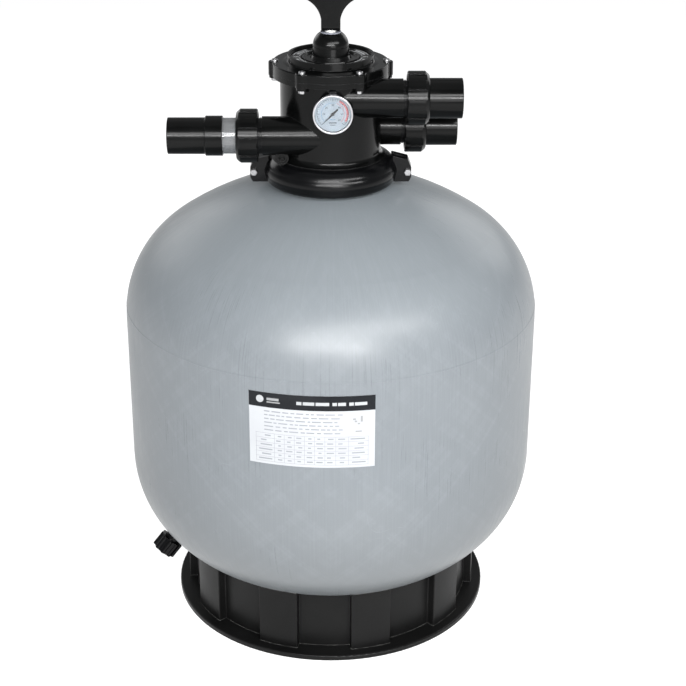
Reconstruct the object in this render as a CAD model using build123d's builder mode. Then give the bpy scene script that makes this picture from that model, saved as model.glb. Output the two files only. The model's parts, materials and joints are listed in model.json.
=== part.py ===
"""Top-mount pool sand filter: tank, base, clamp, six-position valve, gauge, unions and drain.

Millimetres. The origin is on the floor at the centre of the base, +Z up, and the gauge faces -Y.
"""

import os
from math import asin, atan2, cos, degrees, radians, sin, sqrt

from build123d import *

os.makedirs("parts", exist_ok=True)

# ---- tank ----
TANK_R = 313.5
WALL = 6.0
CYLINDER_LOW = 252.7
CYLINDER_HIGH = 486.1
UPPER_KNUCKLE = 160.0
UPPER_CROWN = 431.0
LOWER_KNUCKLE = 172.0
LOWER_CROWN = 485.0

# ---- tank neck and its clamp ----
NECK_TUBE_R = 68.0
NECK_BORE = 58.0
NECK_LEDGE = 54.0
NECK_LOW = 666.0
NECK_SHELF = 697.0
GROOVE_IN = 67.0
GROOVE_OUT = 74.0
GROOVE_DEPTH = 3.5
JOINT_Z = 706.0
FLANGE_R = 86.0
FLANGE_THICK = 9.6
CLAMP_LOW = 690.5
CLAMP_HIGH = 729.5
CLAMP_LIP_R = 76.0
CLAMP_MOUTH_R = 81.5
CLAMP_R = 99.0
CLAMP_REACH = 119.5
CLAMP_BOLT_X = 114.0
CLAMP_BOLT_Z = 705.5
CLAMP_GAP = 1.0
LUG_DEPTH = 13.0
LUG_SHOULDER = 712.0
HEX_R = 5.5

# ---- base ----
BASE_FLANGE_R = 249.0
BASE_FLANGE_THICK = 8.0
PANEL_R = 233.0
RECESS_R = 220.0
PANELS = 10
RECESS_ANGLE = 20.5
FRONT_RECESS = -92.5
BASE_WALL = 4.5
BASE_HIGH = 112.0
PANEL_ROUND = 1.5
RECESS_SPREAD = 1.2

# ---- label ----
LABEL_LOW = 371.0
LABEL_HIGH = 483.0
LABEL_START = -111.3
LABEL_END = -78.6
LABEL_SINK = 0.35
LABEL_THICK = 0.5
LABEL_GAP = 0.3

# ---- water ways inside the tank ----
STANDPIPE_R = 25.0
STANDPIPE_BORE = 22.5
STANDPIPE_TOP = 718.0
PIPE_SEAL_Z = 711.0
PIPE_SEAL = 2.4
PIPE_SEAL_THICK = 3.0
HUB_Z = 112.0
HUB_R = 40.0
HUB_HEIGHT = 56.0
HUB_SEAT = 4.0
LATERALS = 8
LATERAL_R = 12.5
LATERAL_WALL = 2.5
LATERAL_END = 190.0
LATERAL_SLOTS = 8
SLOT_START = 25.0
SLOT_STEP = 12.0
SLOT_WIDE = 1.2
DIFFUSER_R = 53.5
DIFFUSER_LOW = 645.0
DIFFUSER_WALL = 3.0
DIFFUSER_SLOTS = 12
DIFFUSER_SLOT_Z = 656.0

# ---- valve ----
BODY_R = 74.0
SKIRT_R = 80.8
SKIRT_HIGH = 731.0
RIM_THICK = 7.5
FLOOR_Z = 729.0
SECTOR_LOW = 733.0
SECTOR_HIGH = 795.0
SECTOR_R = 62.0
CENTRE_TUBE_R = 29.0
SECTORS = 6
WEB = 4.0
CHAMBER_R = 67.0
WINDOW_Z = 758.0
FLOOR_SLOTS = (122.0, 302.0)
GASKET_THICK = 3.0
ROTOR_THICK = 11.0
COLLAR_R = 20.0
COVER_Z = 857.5
COVER_TOP = 870.0
COVER_FLOOR = 875.0
RIM_R = 85.0
EAR_R = 9.5
BOLT_CIRCLE = 81.0
EAR_LOW = 846.0
NUT_THICK = 4.5
NUT_POCKET = 6.3
RING_TOP = 881.0
RING_R = 61.5
INNER_RING_R = 40.0
HUB_BASE_R = 27.5
HUB_TOP = 912.0
HUB_TOP_R = 15.5
BOLT_R = 3.0
SCREW_HEAD_R = 5.0
SCREW_HEAD = 3.0
STEM_R = 8.0
RUNNING = 0.06
STEM_SEALS = (890.0, 897.0)
STEM_SEAL = 2.5
STEM_SEAL_THICK = 3.0
COVER_SEAL_LOW = 851.0
COVER_SEAL_IN = 62.5
COVER_SEAL_HIGH = 855.0
SPIGOT_IN = 55.0
SPRING_LOW = 828.0
SPRING_HIGH = 882.0
SPRING_COIL_R = 16.5
WIRE_R = 2.2
SPRING_TURNS = 7
CAVITY_R = 20.5
WASHER_THICK = 2.0
PLUG_PLACE = (-71.0, 741.5)
PLUG_R = 7.6
PLUG_WALL = 2.6
PLUG_SEAT = 48.0
PLUG_LENGTH = 10.5

# ---- handle ----
PIVOT_Z = 924.0
CAM_RISE = 5.73
CAM_GAP = 0.3
CAM_TURN = 60.0
THRUST_R = 15.0
THRUST_TOP = 913.5
NECK_HALF = 14.0
NECK_DEPTH = 10.4
FLARE_LOW = 932.0
FLARE_HALF = 38.0
HANDLE_ROUND = 3.0
FORK_HALF = 9.3
FORK_ROOM = 8.4
BAR_DEPTH = 12.5
BAR_LOW = 961.0
BAR_HIGH = 985.0
BAR_HALF = 66.0
PIN_R = 3.0

# ---- ports: centre Y, centre Z, seat X, side (+1 right, -1 left) ----
PORT_R = 28.2
PORT_BORE = 21.5
SOCKET_R = 24.25
SOCKET_DEPTH = 36.0
PUMP = (-45.0, 827.0, 128.5, 1)
RETURN = (37.0, 761.5, 129.0, 1)
WASTE = (-44.5, 771.0, 124.0, -1)
THREAD_R = 34.0
THREAD_LENGTH = 16.0
PORT_START = 10.0
RELIEF = 8.5
RELIEF_RIBS = (1.6, 4.4)
PORT_NECK_R = 25.5
NUT_R = 39.2
NUT_ROOT = 37.2
NUT_RIBS = 8
NUT_LENGTH = 31.5
NUT_LIP = 5.5
RIB_WIDTH = 15.0
TAIL_R = 29.0
SHOULDER_R = 33.2
SHOULDER_THICK = 7.0
UNION_GAP = 0.35
FACE_GAP = 0.1
RING_IN = 24.5
RING_OUT = 28.5
RING_DEPTH = 3.0
PUMP_TAIL = 60.5
RETURN_TAIL = 59.0
GLASS_R = 26.0
GLASS_END = 170.0
COLLAR_START = 156.0
COLLAR_END = 182.0
STUB_R = 26.5
STUB_END = 236.0

# ---- gauge ----
GAUGE_X = 3.0
GAUGE_Z = 815.0
GAUGE_R = 28.5
GAUGE_BOSS_R = 12.0
GAUGE_STEM_R = 6.5
CASE_BACK = 77.0
CASE_WALL = 1.5
DIAL_BACK = 82.5
NEEDLE_BACK = 84.1
NEEDLE_TURN = 225.0
LENS_BACK = 86.0
BEZEL_BACK = 85.0
BEZEL_SKIN = 0.9
BEZEL_FACE = 88.4
BEZEL_LIP = 1.6
TUBE_R = 1.4
TUBE_COIL_R = 19.0

# ---- drain: where its axis leaves the lower dome ----
DRAIN_TURN = 195.0
DRAIN_DROP = 50.0
DRAIN_TUBE_R = 13.0
DRAIN_WALL = 3.5
DRAIN_IN = 24.0
DRAIN_OUT = 36.0
DRAIN_FLANGE_R = 18.0
GASKET_R = 19.0
BOSS_R = 24.0
BOSS_RISE = 2.0
BOSS_SINK = 4.0
STRAINER_LENGTH = 54.0
STRAINER_SLOTS = 5
CAP_R = 20.0
CAP_LOBES = 9
CAP_LENGTH = 24.0
CAP_START = 17.0
LOBE_R = 3.8
CAP_SEAL = 2.0


def write(piece, name):
    """Label a finished piece and write it as its own STEP file."""
    piece.part.label = name
    export_step(piece.part, f"parts/{name}.step")


def polar(radius, angle):
    """Point at a radius and an angle in degrees."""
    return (radius * cos(radians(angle)), radius * sin(radians(angle)))


def wedge(radius, start, end):
    """Corners of a thin slice of pie, from the centre out past a radius."""
    reach = radius / cos(radians((end - start) / 2))
    return [(0, 0), polar(reach, start), polar(reach, (start + end) / 2), polar(reach, end)]


def ring(name, plane, outer, inner, height):
    """A plain ring or washer that stands on a plane."""
    with BuildPart() as piece:
        with BuildSketch(plane):
            Circle(outer)
            Circle(inner, mode=Mode.SUBTRACT)
        extrude(amount=height)
    write(piece, name)


def head_outline(knuckle, crown, knuckle_z, side, inset, end_radius):
    """Knuckle arc and crown arc of a dished head, from the cylinder in to end_radius."""
    knuckle_x = TANK_R - knuckle
    rise = sqrt((crown - knuckle) ** 2 - knuckle_x**2)
    crown_z = knuckle_z - side * rise
    join = degrees(atan2(rise, knuckle_x))
    stop = 90 - degrees(asin(end_radius / (crown - inset)))
    turn = side * join
    first = CenterArc((knuckle_x, knuckle_z), knuckle - inset, 0, turn)
    second = CenterArc((0, crown_z), crown - inset, turn, side * stop - turn)
    return first, second


def tank_bottom():
    """Height of the outside of the tank at its lowest point."""
    reach = LOWER_CROWN - LOWER_KNUCKLE
    rise = sqrt(reach**2 - (TANK_R - LOWER_KNUCKLE) ** 2)
    return CYLINDER_LOW + rise - LOWER_CROWN


def drain_plane(offset):
    """Plane across the drain, offset outwards from the tank's surface."""
    level = LOWER_KNUCKLE * cos(radians(DRAIN_DROP))
    radius = TANK_R - LOWER_KNUCKLE + level
    height = CYLINDER_LOW - LOWER_KNUCKLE * sin(radians(DRAIN_DROP))
    x, y = polar(radius, DRAIN_TURN)
    out = polar(cos(radians(DRAIN_DROP)), DRAIN_TURN)
    place = Plane(origin=(x, y, height), z_dir=(out[0], out[1], -sin(radians(DRAIN_DROP))))
    return place.offset(offset)


def tank_shell():
    """Wound shell with a hole for the neck, a drain boss and a shallow label recess."""
    with BuildPart() as shell:
        with BuildSketch(Plane.XZ):
            with BuildLine():
                outer = head_outline(UPPER_KNUCKLE, UPPER_CROWN, CYLINDER_HIGH, 1, 0, NECK_TUBE_R)
                Line(outer[0] @ 0, (TANK_R, CYLINDER_LOW))
                low = head_outline(LOWER_KNUCKLE, LOWER_CROWN, CYLINDER_LOW, -1, 0, 0)
                Line(low[1] @ 1, (0, tank_bottom() + WALL))
                head_outline(LOWER_KNUCKLE, LOWER_CROWN, CYLINDER_LOW, -1, WALL, 0)
                Line((TANK_R - WALL, CYLINDER_LOW), (TANK_R - WALL, CYLINDER_HIGH))
                inner = head_outline(UPPER_KNUCKLE, UPPER_CROWN, CYLINDER_HIGH, 1, WALL, NECK_TUBE_R)
                Line(inner[1] @ 1, outer[1] @ 1)
            make_face()
        revolve(axis=Axis.Z)
        with BuildSketch(drain_plane(-WALL - BOSS_SINK)):
            Circle(BOSS_R)
        extrude(amount=WALL + BOSS_SINK + BOSS_RISE)
        with BuildSketch(drain_plane(-DRAIN_IN)):
            Circle(DRAIN_TUBE_R + 1.6)
        extrude(amount=DRAIN_IN + DRAIN_OUT, mode=Mode.SUBTRACT)
        with BuildSketch(Plane.XY.offset(LABEL_LOW)):
            Circle(TANK_R + 2)
            Circle(TANK_R - LABEL_SINK, mode=Mode.SUBTRACT)
            Polygon(*wedge(TANK_R + 9, LABEL_START, LABEL_END), align=None, mode=Mode.INTERSECT)
        extrude(amount=LABEL_HIGH - LABEL_LOW, mode=Mode.SUBTRACT)
    write(shell, "tank_shell")


def spec_label():
    """Printed plastic label, bonded into the shallow recess."""
    low = TANK_R - LABEL_SINK
    with BuildPart() as label:
        with BuildSketch(Plane.XY.offset(LABEL_LOW + LABEL_GAP)):
            Circle(low + LABEL_THICK)
            Circle(low, mode=Mode.SUBTRACT)
            sides = wedge(TANK_R + 9, LABEL_START + 0.05, LABEL_END - 0.05)
            Polygon(*sides, align=None, mode=Mode.INTERSECT)
        extrude(amount=LABEL_HIGH - LABEL_LOW - 2 * LABEL_GAP)
    write(label, "spec_label")


def tank_base():
    """Open skirt of raised and recessed panels on a flat flange, shaped to the dome it carries."""
    pitch = 360 / PANELS
    with BuildPart() as base:
        with BuildSketch(Plane.XY) as outline:
            Circle(PANEL_R)
            for number in range(PANELS):
                middle = FRONT_RECESS + number * pitch
                slot = wedge(PANEL_R + 5, middle - RECESS_ANGLE / 2, middle + RECESS_ANGLE / 2)
                Polygon(*slot, align=None, mode=Mode.SUBTRACT)
            Circle(RECESS_R)
            fillet(outline.vertices(), PANEL_ROUND)
        extrude(amount=BASE_HIGH)
        with BuildSketch(Plane.XY):
            Circle(BASE_FLANGE_R)
        extrude(amount=BASE_FLANGE_THICK)
        fillet(base.faces().sort_by(Axis.Z)[:2].edges().sort_by(SortBy.LENGTH)[-1], 2)
        with BuildSketch(Plane.XY.offset(-1)) as hollow:
            Circle(PANEL_R - BASE_WALL)
            for number in range(PANELS):
                middle = FRONT_RECESS + number * pitch
                spread = RECESS_ANGLE / 2 + RECESS_SPREAD
                slot = wedge(PANEL_R + 5, middle - spread, middle + spread)
                Polygon(*slot, align=None, mode=Mode.SUBTRACT)
            Circle(RECESS_R - BASE_WALL)
        extrude(amount=BASE_HIGH + 2, mode=Mode.SUBTRACT)
        with BuildSketch(Plane.XZ):
            with BuildLine():
                low = head_outline(LOWER_KNUCKLE, LOWER_CROWN, CYLINDER_LOW, -1, 0, 0)
                Polyline(low[1] @ 1, (0, CYLINDER_LOW), (TANK_R, CYLINDER_LOW))
            make_face()
        revolve(axis=Axis.Z, mode=Mode.SUBTRACT)
    write(base, "tank_base")


def tank_neck():
    """Moulded neck bonded into the top of the shell, with the clamped flange."""
    with BuildPart() as neck:
        with BuildSketch(Plane.XZ):
            with BuildLine():
                Polyline(
                    (NECK_LEDGE, NECK_LOW),
                    (NECK_TUBE_R, NECK_LOW),
                    (NECK_TUBE_R, JOINT_Z - FLANGE_THICK - 2),
                    (NECK_TUBE_R + 6, JOINT_Z - FLANGE_THICK),
                    (FLANGE_R, JOINT_Z - FLANGE_THICK),
                    (FLANGE_R, JOINT_Z),
                    (GROOVE_OUT, JOINT_Z),
                    (GROOVE_OUT, JOINT_Z - GROOVE_DEPTH),
                    (GROOVE_IN, JOINT_Z - GROOVE_DEPTH),
                    (GROOVE_IN, JOINT_Z),
                    (NECK_BORE, JOINT_Z),
                    (NECK_BORE, NECK_SHELF),
                    (NECK_LEDGE, NECK_SHELF),
                    close=True,
                )
            make_face()
        revolve(axis=Axis.Z)
    write(neck, "tank_neck")


def clamp_half(name, side):
    """Half of the flange clamp: a rounded channel ring with a tall tapered lug at each end."""
    channel_low = JOINT_Z - FLANGE_THICK - FACE_GAP
    channel_high = JOINT_Z + FLANGE_THICK + FACE_GAP
    channel = FLANGE_R + 0.4
    with BuildPart() as half:
        with BuildSketch(Plane.XZ):
            with BuildLine():
                Polyline((CLAMP_R - 8, CLAMP_LOW), (CLAMP_LIP_R, CLAMP_LOW), (CLAMP_LIP_R, channel_low))
                Polyline((CLAMP_LIP_R, channel_low), (channel, channel_low), (channel, channel_high))
                Line((channel, channel_high), (CLAMP_MOUTH_R, channel_high + 4))
                Line((CLAMP_MOUTH_R, channel_high + 4), (CLAMP_MOUTH_R, CLAMP_HIGH))
                Line((CLAMP_MOUTH_R, CLAMP_HIGH), (CLAMP_R - 11, CLAMP_HIGH - 2))
                ThreePointArc((CLAMP_R - 11, CLAMP_HIGH - 2), (CLAMP_R - 4.5, 721), (CLAMP_R - 2.5, 716))
                ThreePointArc((CLAMP_R - 2.5, 716), (CLAMP_R, 708), (CLAMP_R - 2, 699))
                ThreePointArc((CLAMP_R - 2, 699), (CLAMP_R - 4, 693.5), (CLAMP_R - 8, CLAMP_LOW))
            make_face()
        revolve(axis=Axis.Z)
        for hand in (1, -1):
            with BuildSketch(Plane.XZ.offset(-LUG_DEPTH)):
                with BuildLine():
                    Polyline(
                        (hand * (CLAMP_R - 9), CLAMP_LOW),
                        (hand * (CLAMP_REACH - 4), CLAMP_LOW),
                        (hand * CLAMP_REACH, CLAMP_LOW + 6),
                        (hand * CLAMP_REACH, LUG_SHOULDER),
                        (hand * (CLAMP_REACH - 5), LUG_SHOULDER + 12),
                        (hand * (CLAMP_R - 9), CLAMP_HIGH + 1),
                        close=True,
                    )
                make_face()
            extrude(amount=2 * LUG_DEPTH)
        chamfer(half.faces().filter_by(Axis.X).edges().filter_by(Axis.Z), 2)
        split(bisect_by=Plane.XZ.offset(side * CLAMP_GAP / 2), keep=Keep.TOP if side > 0 else Keep.BOTTOM)
        with BuildSketch(Plane.XZ.offset(-2 * LUG_DEPTH)):
            with Locations((CLAMP_BOLT_X, CLAMP_BOLT_Z), (-CLAMP_BOLT_X, CLAMP_BOLT_Z)):
                Circle(BOLT_R + 0.2)
        extrude(amount=4 * LUG_DEPTH, mode=Mode.SUBTRACT)
    write(half, name)


def clamp_fasteners():
    """Two hex bolts through the lugs from the front, and the nuts behind."""
    places = ((CLAMP_BOLT_X, CLAMP_BOLT_Z), (-CLAMP_BOLT_X, CLAMP_BOLT_Z))
    with BuildPart() as bolts:
        with BuildSketch(Plane.XZ.offset(LUG_DEPTH)):
            with Locations(*places):
                RegularPolygon(HEX_R, 6)
        extrude(amount=4)
        chamfer(bolts.faces().sort_by(Axis.Y)[:2].edges(), 0.6)
        with BuildSketch(Plane.XZ.offset(LUG_DEPTH)):
            with Locations(*places):
                Circle(BOLT_R)
        extrude(amount=-2 * LUG_DEPTH - 9)
    write(bolts, "clamp_bolts")
    with BuildPart() as nuts:
        with BuildSketch(Plane.XZ.offset(-LUG_DEPTH)):
            with Locations(*places):
                RegularPolygon(HEX_R, 6)
                Circle(BOLT_R, mode=Mode.SUBTRACT)
        extrude(amount=-NUT_THICK)
    write(nuts, "clamp_nuts")


def standpipe():
    """Straight pipe from the valve's centre tube down into the lateral hub."""
    foot = HUB_Z - HUB_SEAT
    ring("standpipe", Plane.XY.offset(foot), STANDPIPE_R, STANDPIPE_BORE, STANDPIPE_TOP - foot)


def lateral_hub():
    """Closed hub at the foot of the standpipe, with a socket for each lateral."""
    with BuildPart() as hub:
        with BuildSketch(Plane.XY.offset(HUB_Z - 20)):
            Circle(HUB_R)
        extrude(amount=HUB_HEIGHT)
        fillet(hub.edges().filter_by(GeomType.CIRCLE), 3)
        with BuildSketch(Plane.XY.offset(HUB_Z - HUB_SEAT)):
            Circle(STANDPIPE_R)
        extrude(amount=HUB_HEIGHT, mode=Mode.SUBTRACT)
        with BuildSketch(Plane.XY.offset(HUB_Z - HUB_SEAT - 10)):
            Circle(STANDPIPE_BORE)
        extrude(amount=HUB_HEIGHT, mode=Mode.SUBTRACT)
        for number in range(LATERALS):
            side = Plane(origin=(0, 0, HUB_Z), z_dir=(*polar(1, number * 360 / LATERALS), 0))
            with BuildSketch(side.offset(HUB_R - 15)):
                Circle(LATERAL_R - LATERAL_WALL)
            extrude(amount=16, mode=Mode.SUBTRACT)
    write(hub, "lateral_hub")


def laterals():
    """Slotted collector tubes, closed at the outer end, one node each."""
    for number in range(LATERALS):
        along = Plane(origin=(0, 0, HUB_Z), z_dir=(*polar(1, number * 360 / LATERALS), 0))
        with BuildPart() as lateral:
            with BuildSketch(along.offset(HUB_R)):
                Circle(LATERAL_R)
            extrude(amount=LATERAL_END - HUB_R)
            fillet(lateral.edges().filter_by(GeomType.CIRCLE).sort_by_distance((0, 0, HUB_Z))[-1], 4)
            with BuildSketch(along.offset(HUB_R)):
                Circle(LATERAL_R - LATERAL_WALL)
            extrude(amount=LATERAL_END - HUB_R - 4, mode=Mode.SUBTRACT)
            for step in range(LATERAL_SLOTS):
                with BuildSketch(along.offset(HUB_R + SLOT_START + step * SLOT_STEP)):
                    Rectangle(3 * LATERAL_R, LATERAL_R - LATERAL_WALL)
                extrude(amount=SLOT_WIDE, mode=Mode.SUBTRACT)
        write(lateral, f"lateral_{number + 1}")


def top_diffuser():
    """Slotted basket hung in the neck, that spreads the water over the sand."""
    with BuildPart() as basket:
        with BuildSketch(Plane.XY.offset(DIFFUSER_LOW)):
            Circle(DIFFUSER_R)
        extrude(amount=NECK_SHELF - DIFFUSER_LOW)
        with BuildSketch(Plane.XY.offset(NECK_SHELF)):
            Circle(NECK_BORE - 0.3)
        extrude(amount=DIFFUSER_WALL)
        with BuildSketch(Plane.XY.offset(DIFFUSER_LOW + DIFFUSER_WALL)):
            Circle(DIFFUSER_R - DIFFUSER_WALL)
        extrude(amount=JOINT_Z - DIFFUSER_LOW, mode=Mode.SUBTRACT)
        with BuildSketch(Plane.XY.offset(DIFFUSER_LOW - 1)):
            Circle(STANDPIPE_R + 0.4)
        extrude(amount=2 * DIFFUSER_WALL, mode=Mode.SUBTRACT)
        for number in range(DIFFUSER_SLOTS):
            turn = (number + 0.5) * 360 / DIFFUSER_SLOTS
            side = Plane(origin=(0, 0, DIFFUSER_SLOT_Z), z_dir=(*polar(1, turn), 0))
            with BuildSketch(side.offset(DIFFUSER_R - 10)):
                Rectangle(4, 14)
            extrude(amount=20, mode=Mode.SUBTRACT)
    write(basket, "top_diffuser")


def neck_seals():
    """O-ring between valve and neck, and the one that seals the standpipe."""
    groove = Plane.XY.offset(JOINT_Z - GROOVE_DEPTH)
    ring("neck_seal", groove, GROOVE_OUT - 0.5, GROOVE_IN + 0.5, GROOVE_DEPTH)
    seat = Plane.XY.offset(PIPE_SEAL_Z)
    ring("standpipe_seal", seat, STANDPIPE_R + PIPE_SEAL, STANDPIPE_R, PIPE_SEAL_THICK)


def port_axis(port):
    """Axis of a port, pointing out of the valve."""
    y, z, seat, side = port
    return Axis((0, y, z), (side, 0, 0))


def port_plane(port, along):
    """Plane across a port, at a distance from the valve's middle."""
    y, z, seat, side = port
    return Plane(origin=(side * along, y, z), z_dir=(side, 0, 0))


def port_section(port):
    """Plane through a port's axis: x runs out along the port, y is the radius."""
    y, z, seat, side = port
    return Plane(origin=(0, y, z), x_dir=(side, 0, 0), z_dir=(0, -1, 0))


def port_disc(port, along, radius):
    """Round face across a port, at a distance from the valve's middle."""
    with BuildSketch(port_plane(port, along)) as disc:
        Circle(radius)
    return disc.sketch


def port_solid(port):
    """Outside of one port: pipe, ribbed thread relief and thread, out to the sealing face."""
    thread_start = port[2] - THREAD_LENGTH
    pipe_end = thread_start - RELIEF
    extrude(port_disc(port, PORT_START, PORT_R), amount=pipe_end - PORT_START)
    extrude(port_disc(port, pipe_end, PORT_NECK_R), amount=THREAD_LENGTH)
    for rib in RELIEF_RIBS:
        extrude(port_disc(port, pipe_end + rib, PORT_NECK_R + 1), amount=1.4)
    extrude(port_disc(port, thread_start, THREAD_R), amount=THREAD_LENGTH)


def port_bore(port, inner):
    """Water way of one port, from its sealing face in to the chamber or sector."""
    extrude(port_disc(port, inner, PORT_BORE), amount=port[2] - inner + 1, mode=Mode.SUBTRACT)


def ear_points():
    """Bolt places round the cover: 30 degrees either side of the front and every 60 on."""
    return [polar(BOLT_CIRCLE, -60 + 60 * number) for number in range(6)]


def rim_sketch():
    """Outline shared by the body's and the cover's rims, a disc with six rounded ears."""
    with BuildSketch() as rim:
        Circle(RIM_R)
        with Locations(*ear_points()):
            Circle(EAR_R)
        fillet(rim.vertices(), 4)
    return rim.sketch


def valve_body():
    """Six-sector valve body with three ports, clamp flange, gauge boss and plug boss."""
    with BuildPart() as body:
        with BuildSketch(Plane.XZ):
            with BuildLine():
                Polyline((0, JOINT_Z), (FLANGE_R, JOINT_Z), (FLANGE_R, JOINT_Z + FLANGE_THICK))
                Polyline((FLANGE_R, JOINT_Z + FLANGE_THICK), (SKIRT_R, JOINT_Z + 14), (SKIRT_R, SKIRT_HIGH))
                ThreePointArc((SKIRT_R, SKIRT_HIGH), (SKIRT_R - 5, SKIRT_HIGH + 3), (BODY_R, SKIRT_HIGH + 10))
                Polyline((BODY_R, SKIRT_HIGH + 10), (BODY_R, COVER_Z), (0, COVER_Z), (0, JOINT_Z))
            make_face()
        revolve(axis=Axis.Z)
        for port in (PUMP, RETURN, WASTE):
            port_solid(port)
        with BuildSketch(Plane.XY.offset(COVER_Z - RIM_THICK)):
            add(rim_sketch())
        extrude(amount=RIM_THICK)
        with BuildSketch(Plane.XY.offset(EAR_LOW)):
            with Locations(*ear_points()):
                Circle(EAR_R - 1)
        extrude(amount=COVER_Z - EAR_LOW)
        with BuildSketch(gauge_plane(CHAMBER_R)):
            Circle(GAUGE_BOSS_R)
        extrude(amount=CASE_BACK - 1 - CHAMBER_R)
        with BuildSketch(Plane.XZ.offset(PLUG_SEAT - 23)):
            with Locations(PLUG_PLACE):
                Circle(PLUG_R + PLUG_WALL)
        extrude(amount=35)
        with BuildSketch(Plane.XY.offset(SECTOR_HIGH)):
            Circle(CHAMBER_R)
        extrude(amount=COVER_Z - SECTOR_HIGH + 1, mode=Mode.SUBTRACT)
        with BuildSketch(Plane.XY.offset(SECTOR_LOW)):
            Circle(SECTOR_R)
            Circle(CENTRE_TUBE_R, mode=Mode.SUBTRACT)
            for number in range(SECTORS // 2):
                Rectangle(2 * BODY_R, WEB, rotation=number * 60, mode=Mode.SUBTRACT)
        extrude(amount=SECTOR_HIGH - SECTOR_LOW + 1, mode=Mode.SUBTRACT)
        with BuildSketch(Plane.XY.offset(JOINT_Z - 1)):
            Circle(NECK_BORE)
            Circle(CENTRE_TUBE_R, mode=Mode.SUBTRACT)
        extrude(amount=FLOOR_Z - JOINT_Z + 1, mode=Mode.SUBTRACT)
        for start in FLOOR_SLOTS:
            with BuildSketch(Plane.XY.offset(FLOOR_Z - 1)):
                Circle(NECK_BORE - 2)
                Circle(CENTRE_TUBE_R + 2, mode=Mode.SUBTRACT)
                Polygon(*wedge(80, start + 2, start + 54), align=None, mode=Mode.INTERSECT)
            extrude(amount=6, mode=Mode.SUBTRACT)
        with BuildSketch(Plane.XY.offset(JOINT_Z - 1)):
            Circle(STANDPIPE_R)
        extrude(amount=STANDPIPE_TOP - JOINT_Z + 1, mode=Mode.SUBTRACT)
        with BuildSketch(Plane.XY.offset(PIPE_SEAL_Z)):
            Circle(STANDPIPE_R + PIPE_SEAL)
        extrude(amount=PIPE_SEAL_THICK, mode=Mode.SUBTRACT)
        with BuildSketch(Plane.XY.offset(JOINT_Z)):
            Circle(STANDPIPE_BORE)
        extrude(amount=SECTOR_HIGH - JOINT_Z - 8, mode=Mode.SUBTRACT)
        for turn in (90, 270):
            window = Plane(origin=(0, 0, WINDOW_Z), z_dir=(*polar(1, turn), 0))
            with BuildSketch(window.offset(15)):
                Rectangle(20, 36)
            extrude(amount=17, mode=Mode.SUBTRACT)
        port_bore(PUMP, 42)
        port_bore(RETURN, 45)
        port_bore(WASTE, 36)
        with BuildSketch(gauge_plane(CHAMBER_R - 7)):
            Circle(GAUGE_STEM_R)
        extrude(amount=20, mode=Mode.SUBTRACT)
        with BuildSketch(Plane.XZ.offset(PLUG_SEAT)):
            with Locations(PLUG_PLACE):
                Circle(PLUG_R)
        extrude(amount=15, mode=Mode.SUBTRACT)
        with BuildSketch(Plane.XY.offset(EAR_LOW)):
            with Locations(*ear_points()):
                Circle(NUT_POCKET)
        extrude(amount=-NUT_THICK - 1.2, mode=Mode.SUBTRACT)
        with BuildSketch(Plane.XY.offset(EAR_LOW - 1)):
            with Locations(*ear_points()):
                Circle(BOLT_R)
        extrude(amount=20, mode=Mode.SUBTRACT)
    write(body, "valve_body")


def port_plug():
    """Screwed plug with a hexagon socket, in the boss under the waste port."""
    with BuildPart() as plug:
        with BuildSketch(Plane.XZ.offset(PLUG_SEAT)):
            with Locations(PLUG_PLACE):
                Circle(PLUG_R)
        extrude(amount=PLUG_LENGTH)
        with BuildSketch(Plane.XZ.offset(PLUG_SEAT + 3)):
            with Locations(PLUG_PLACE):
                RegularPolygon(5, 6)
        extrude(amount=PLUG_LENGTH, mode=Mode.SUBTRACT)
    write(plug, "port_plug")


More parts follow.
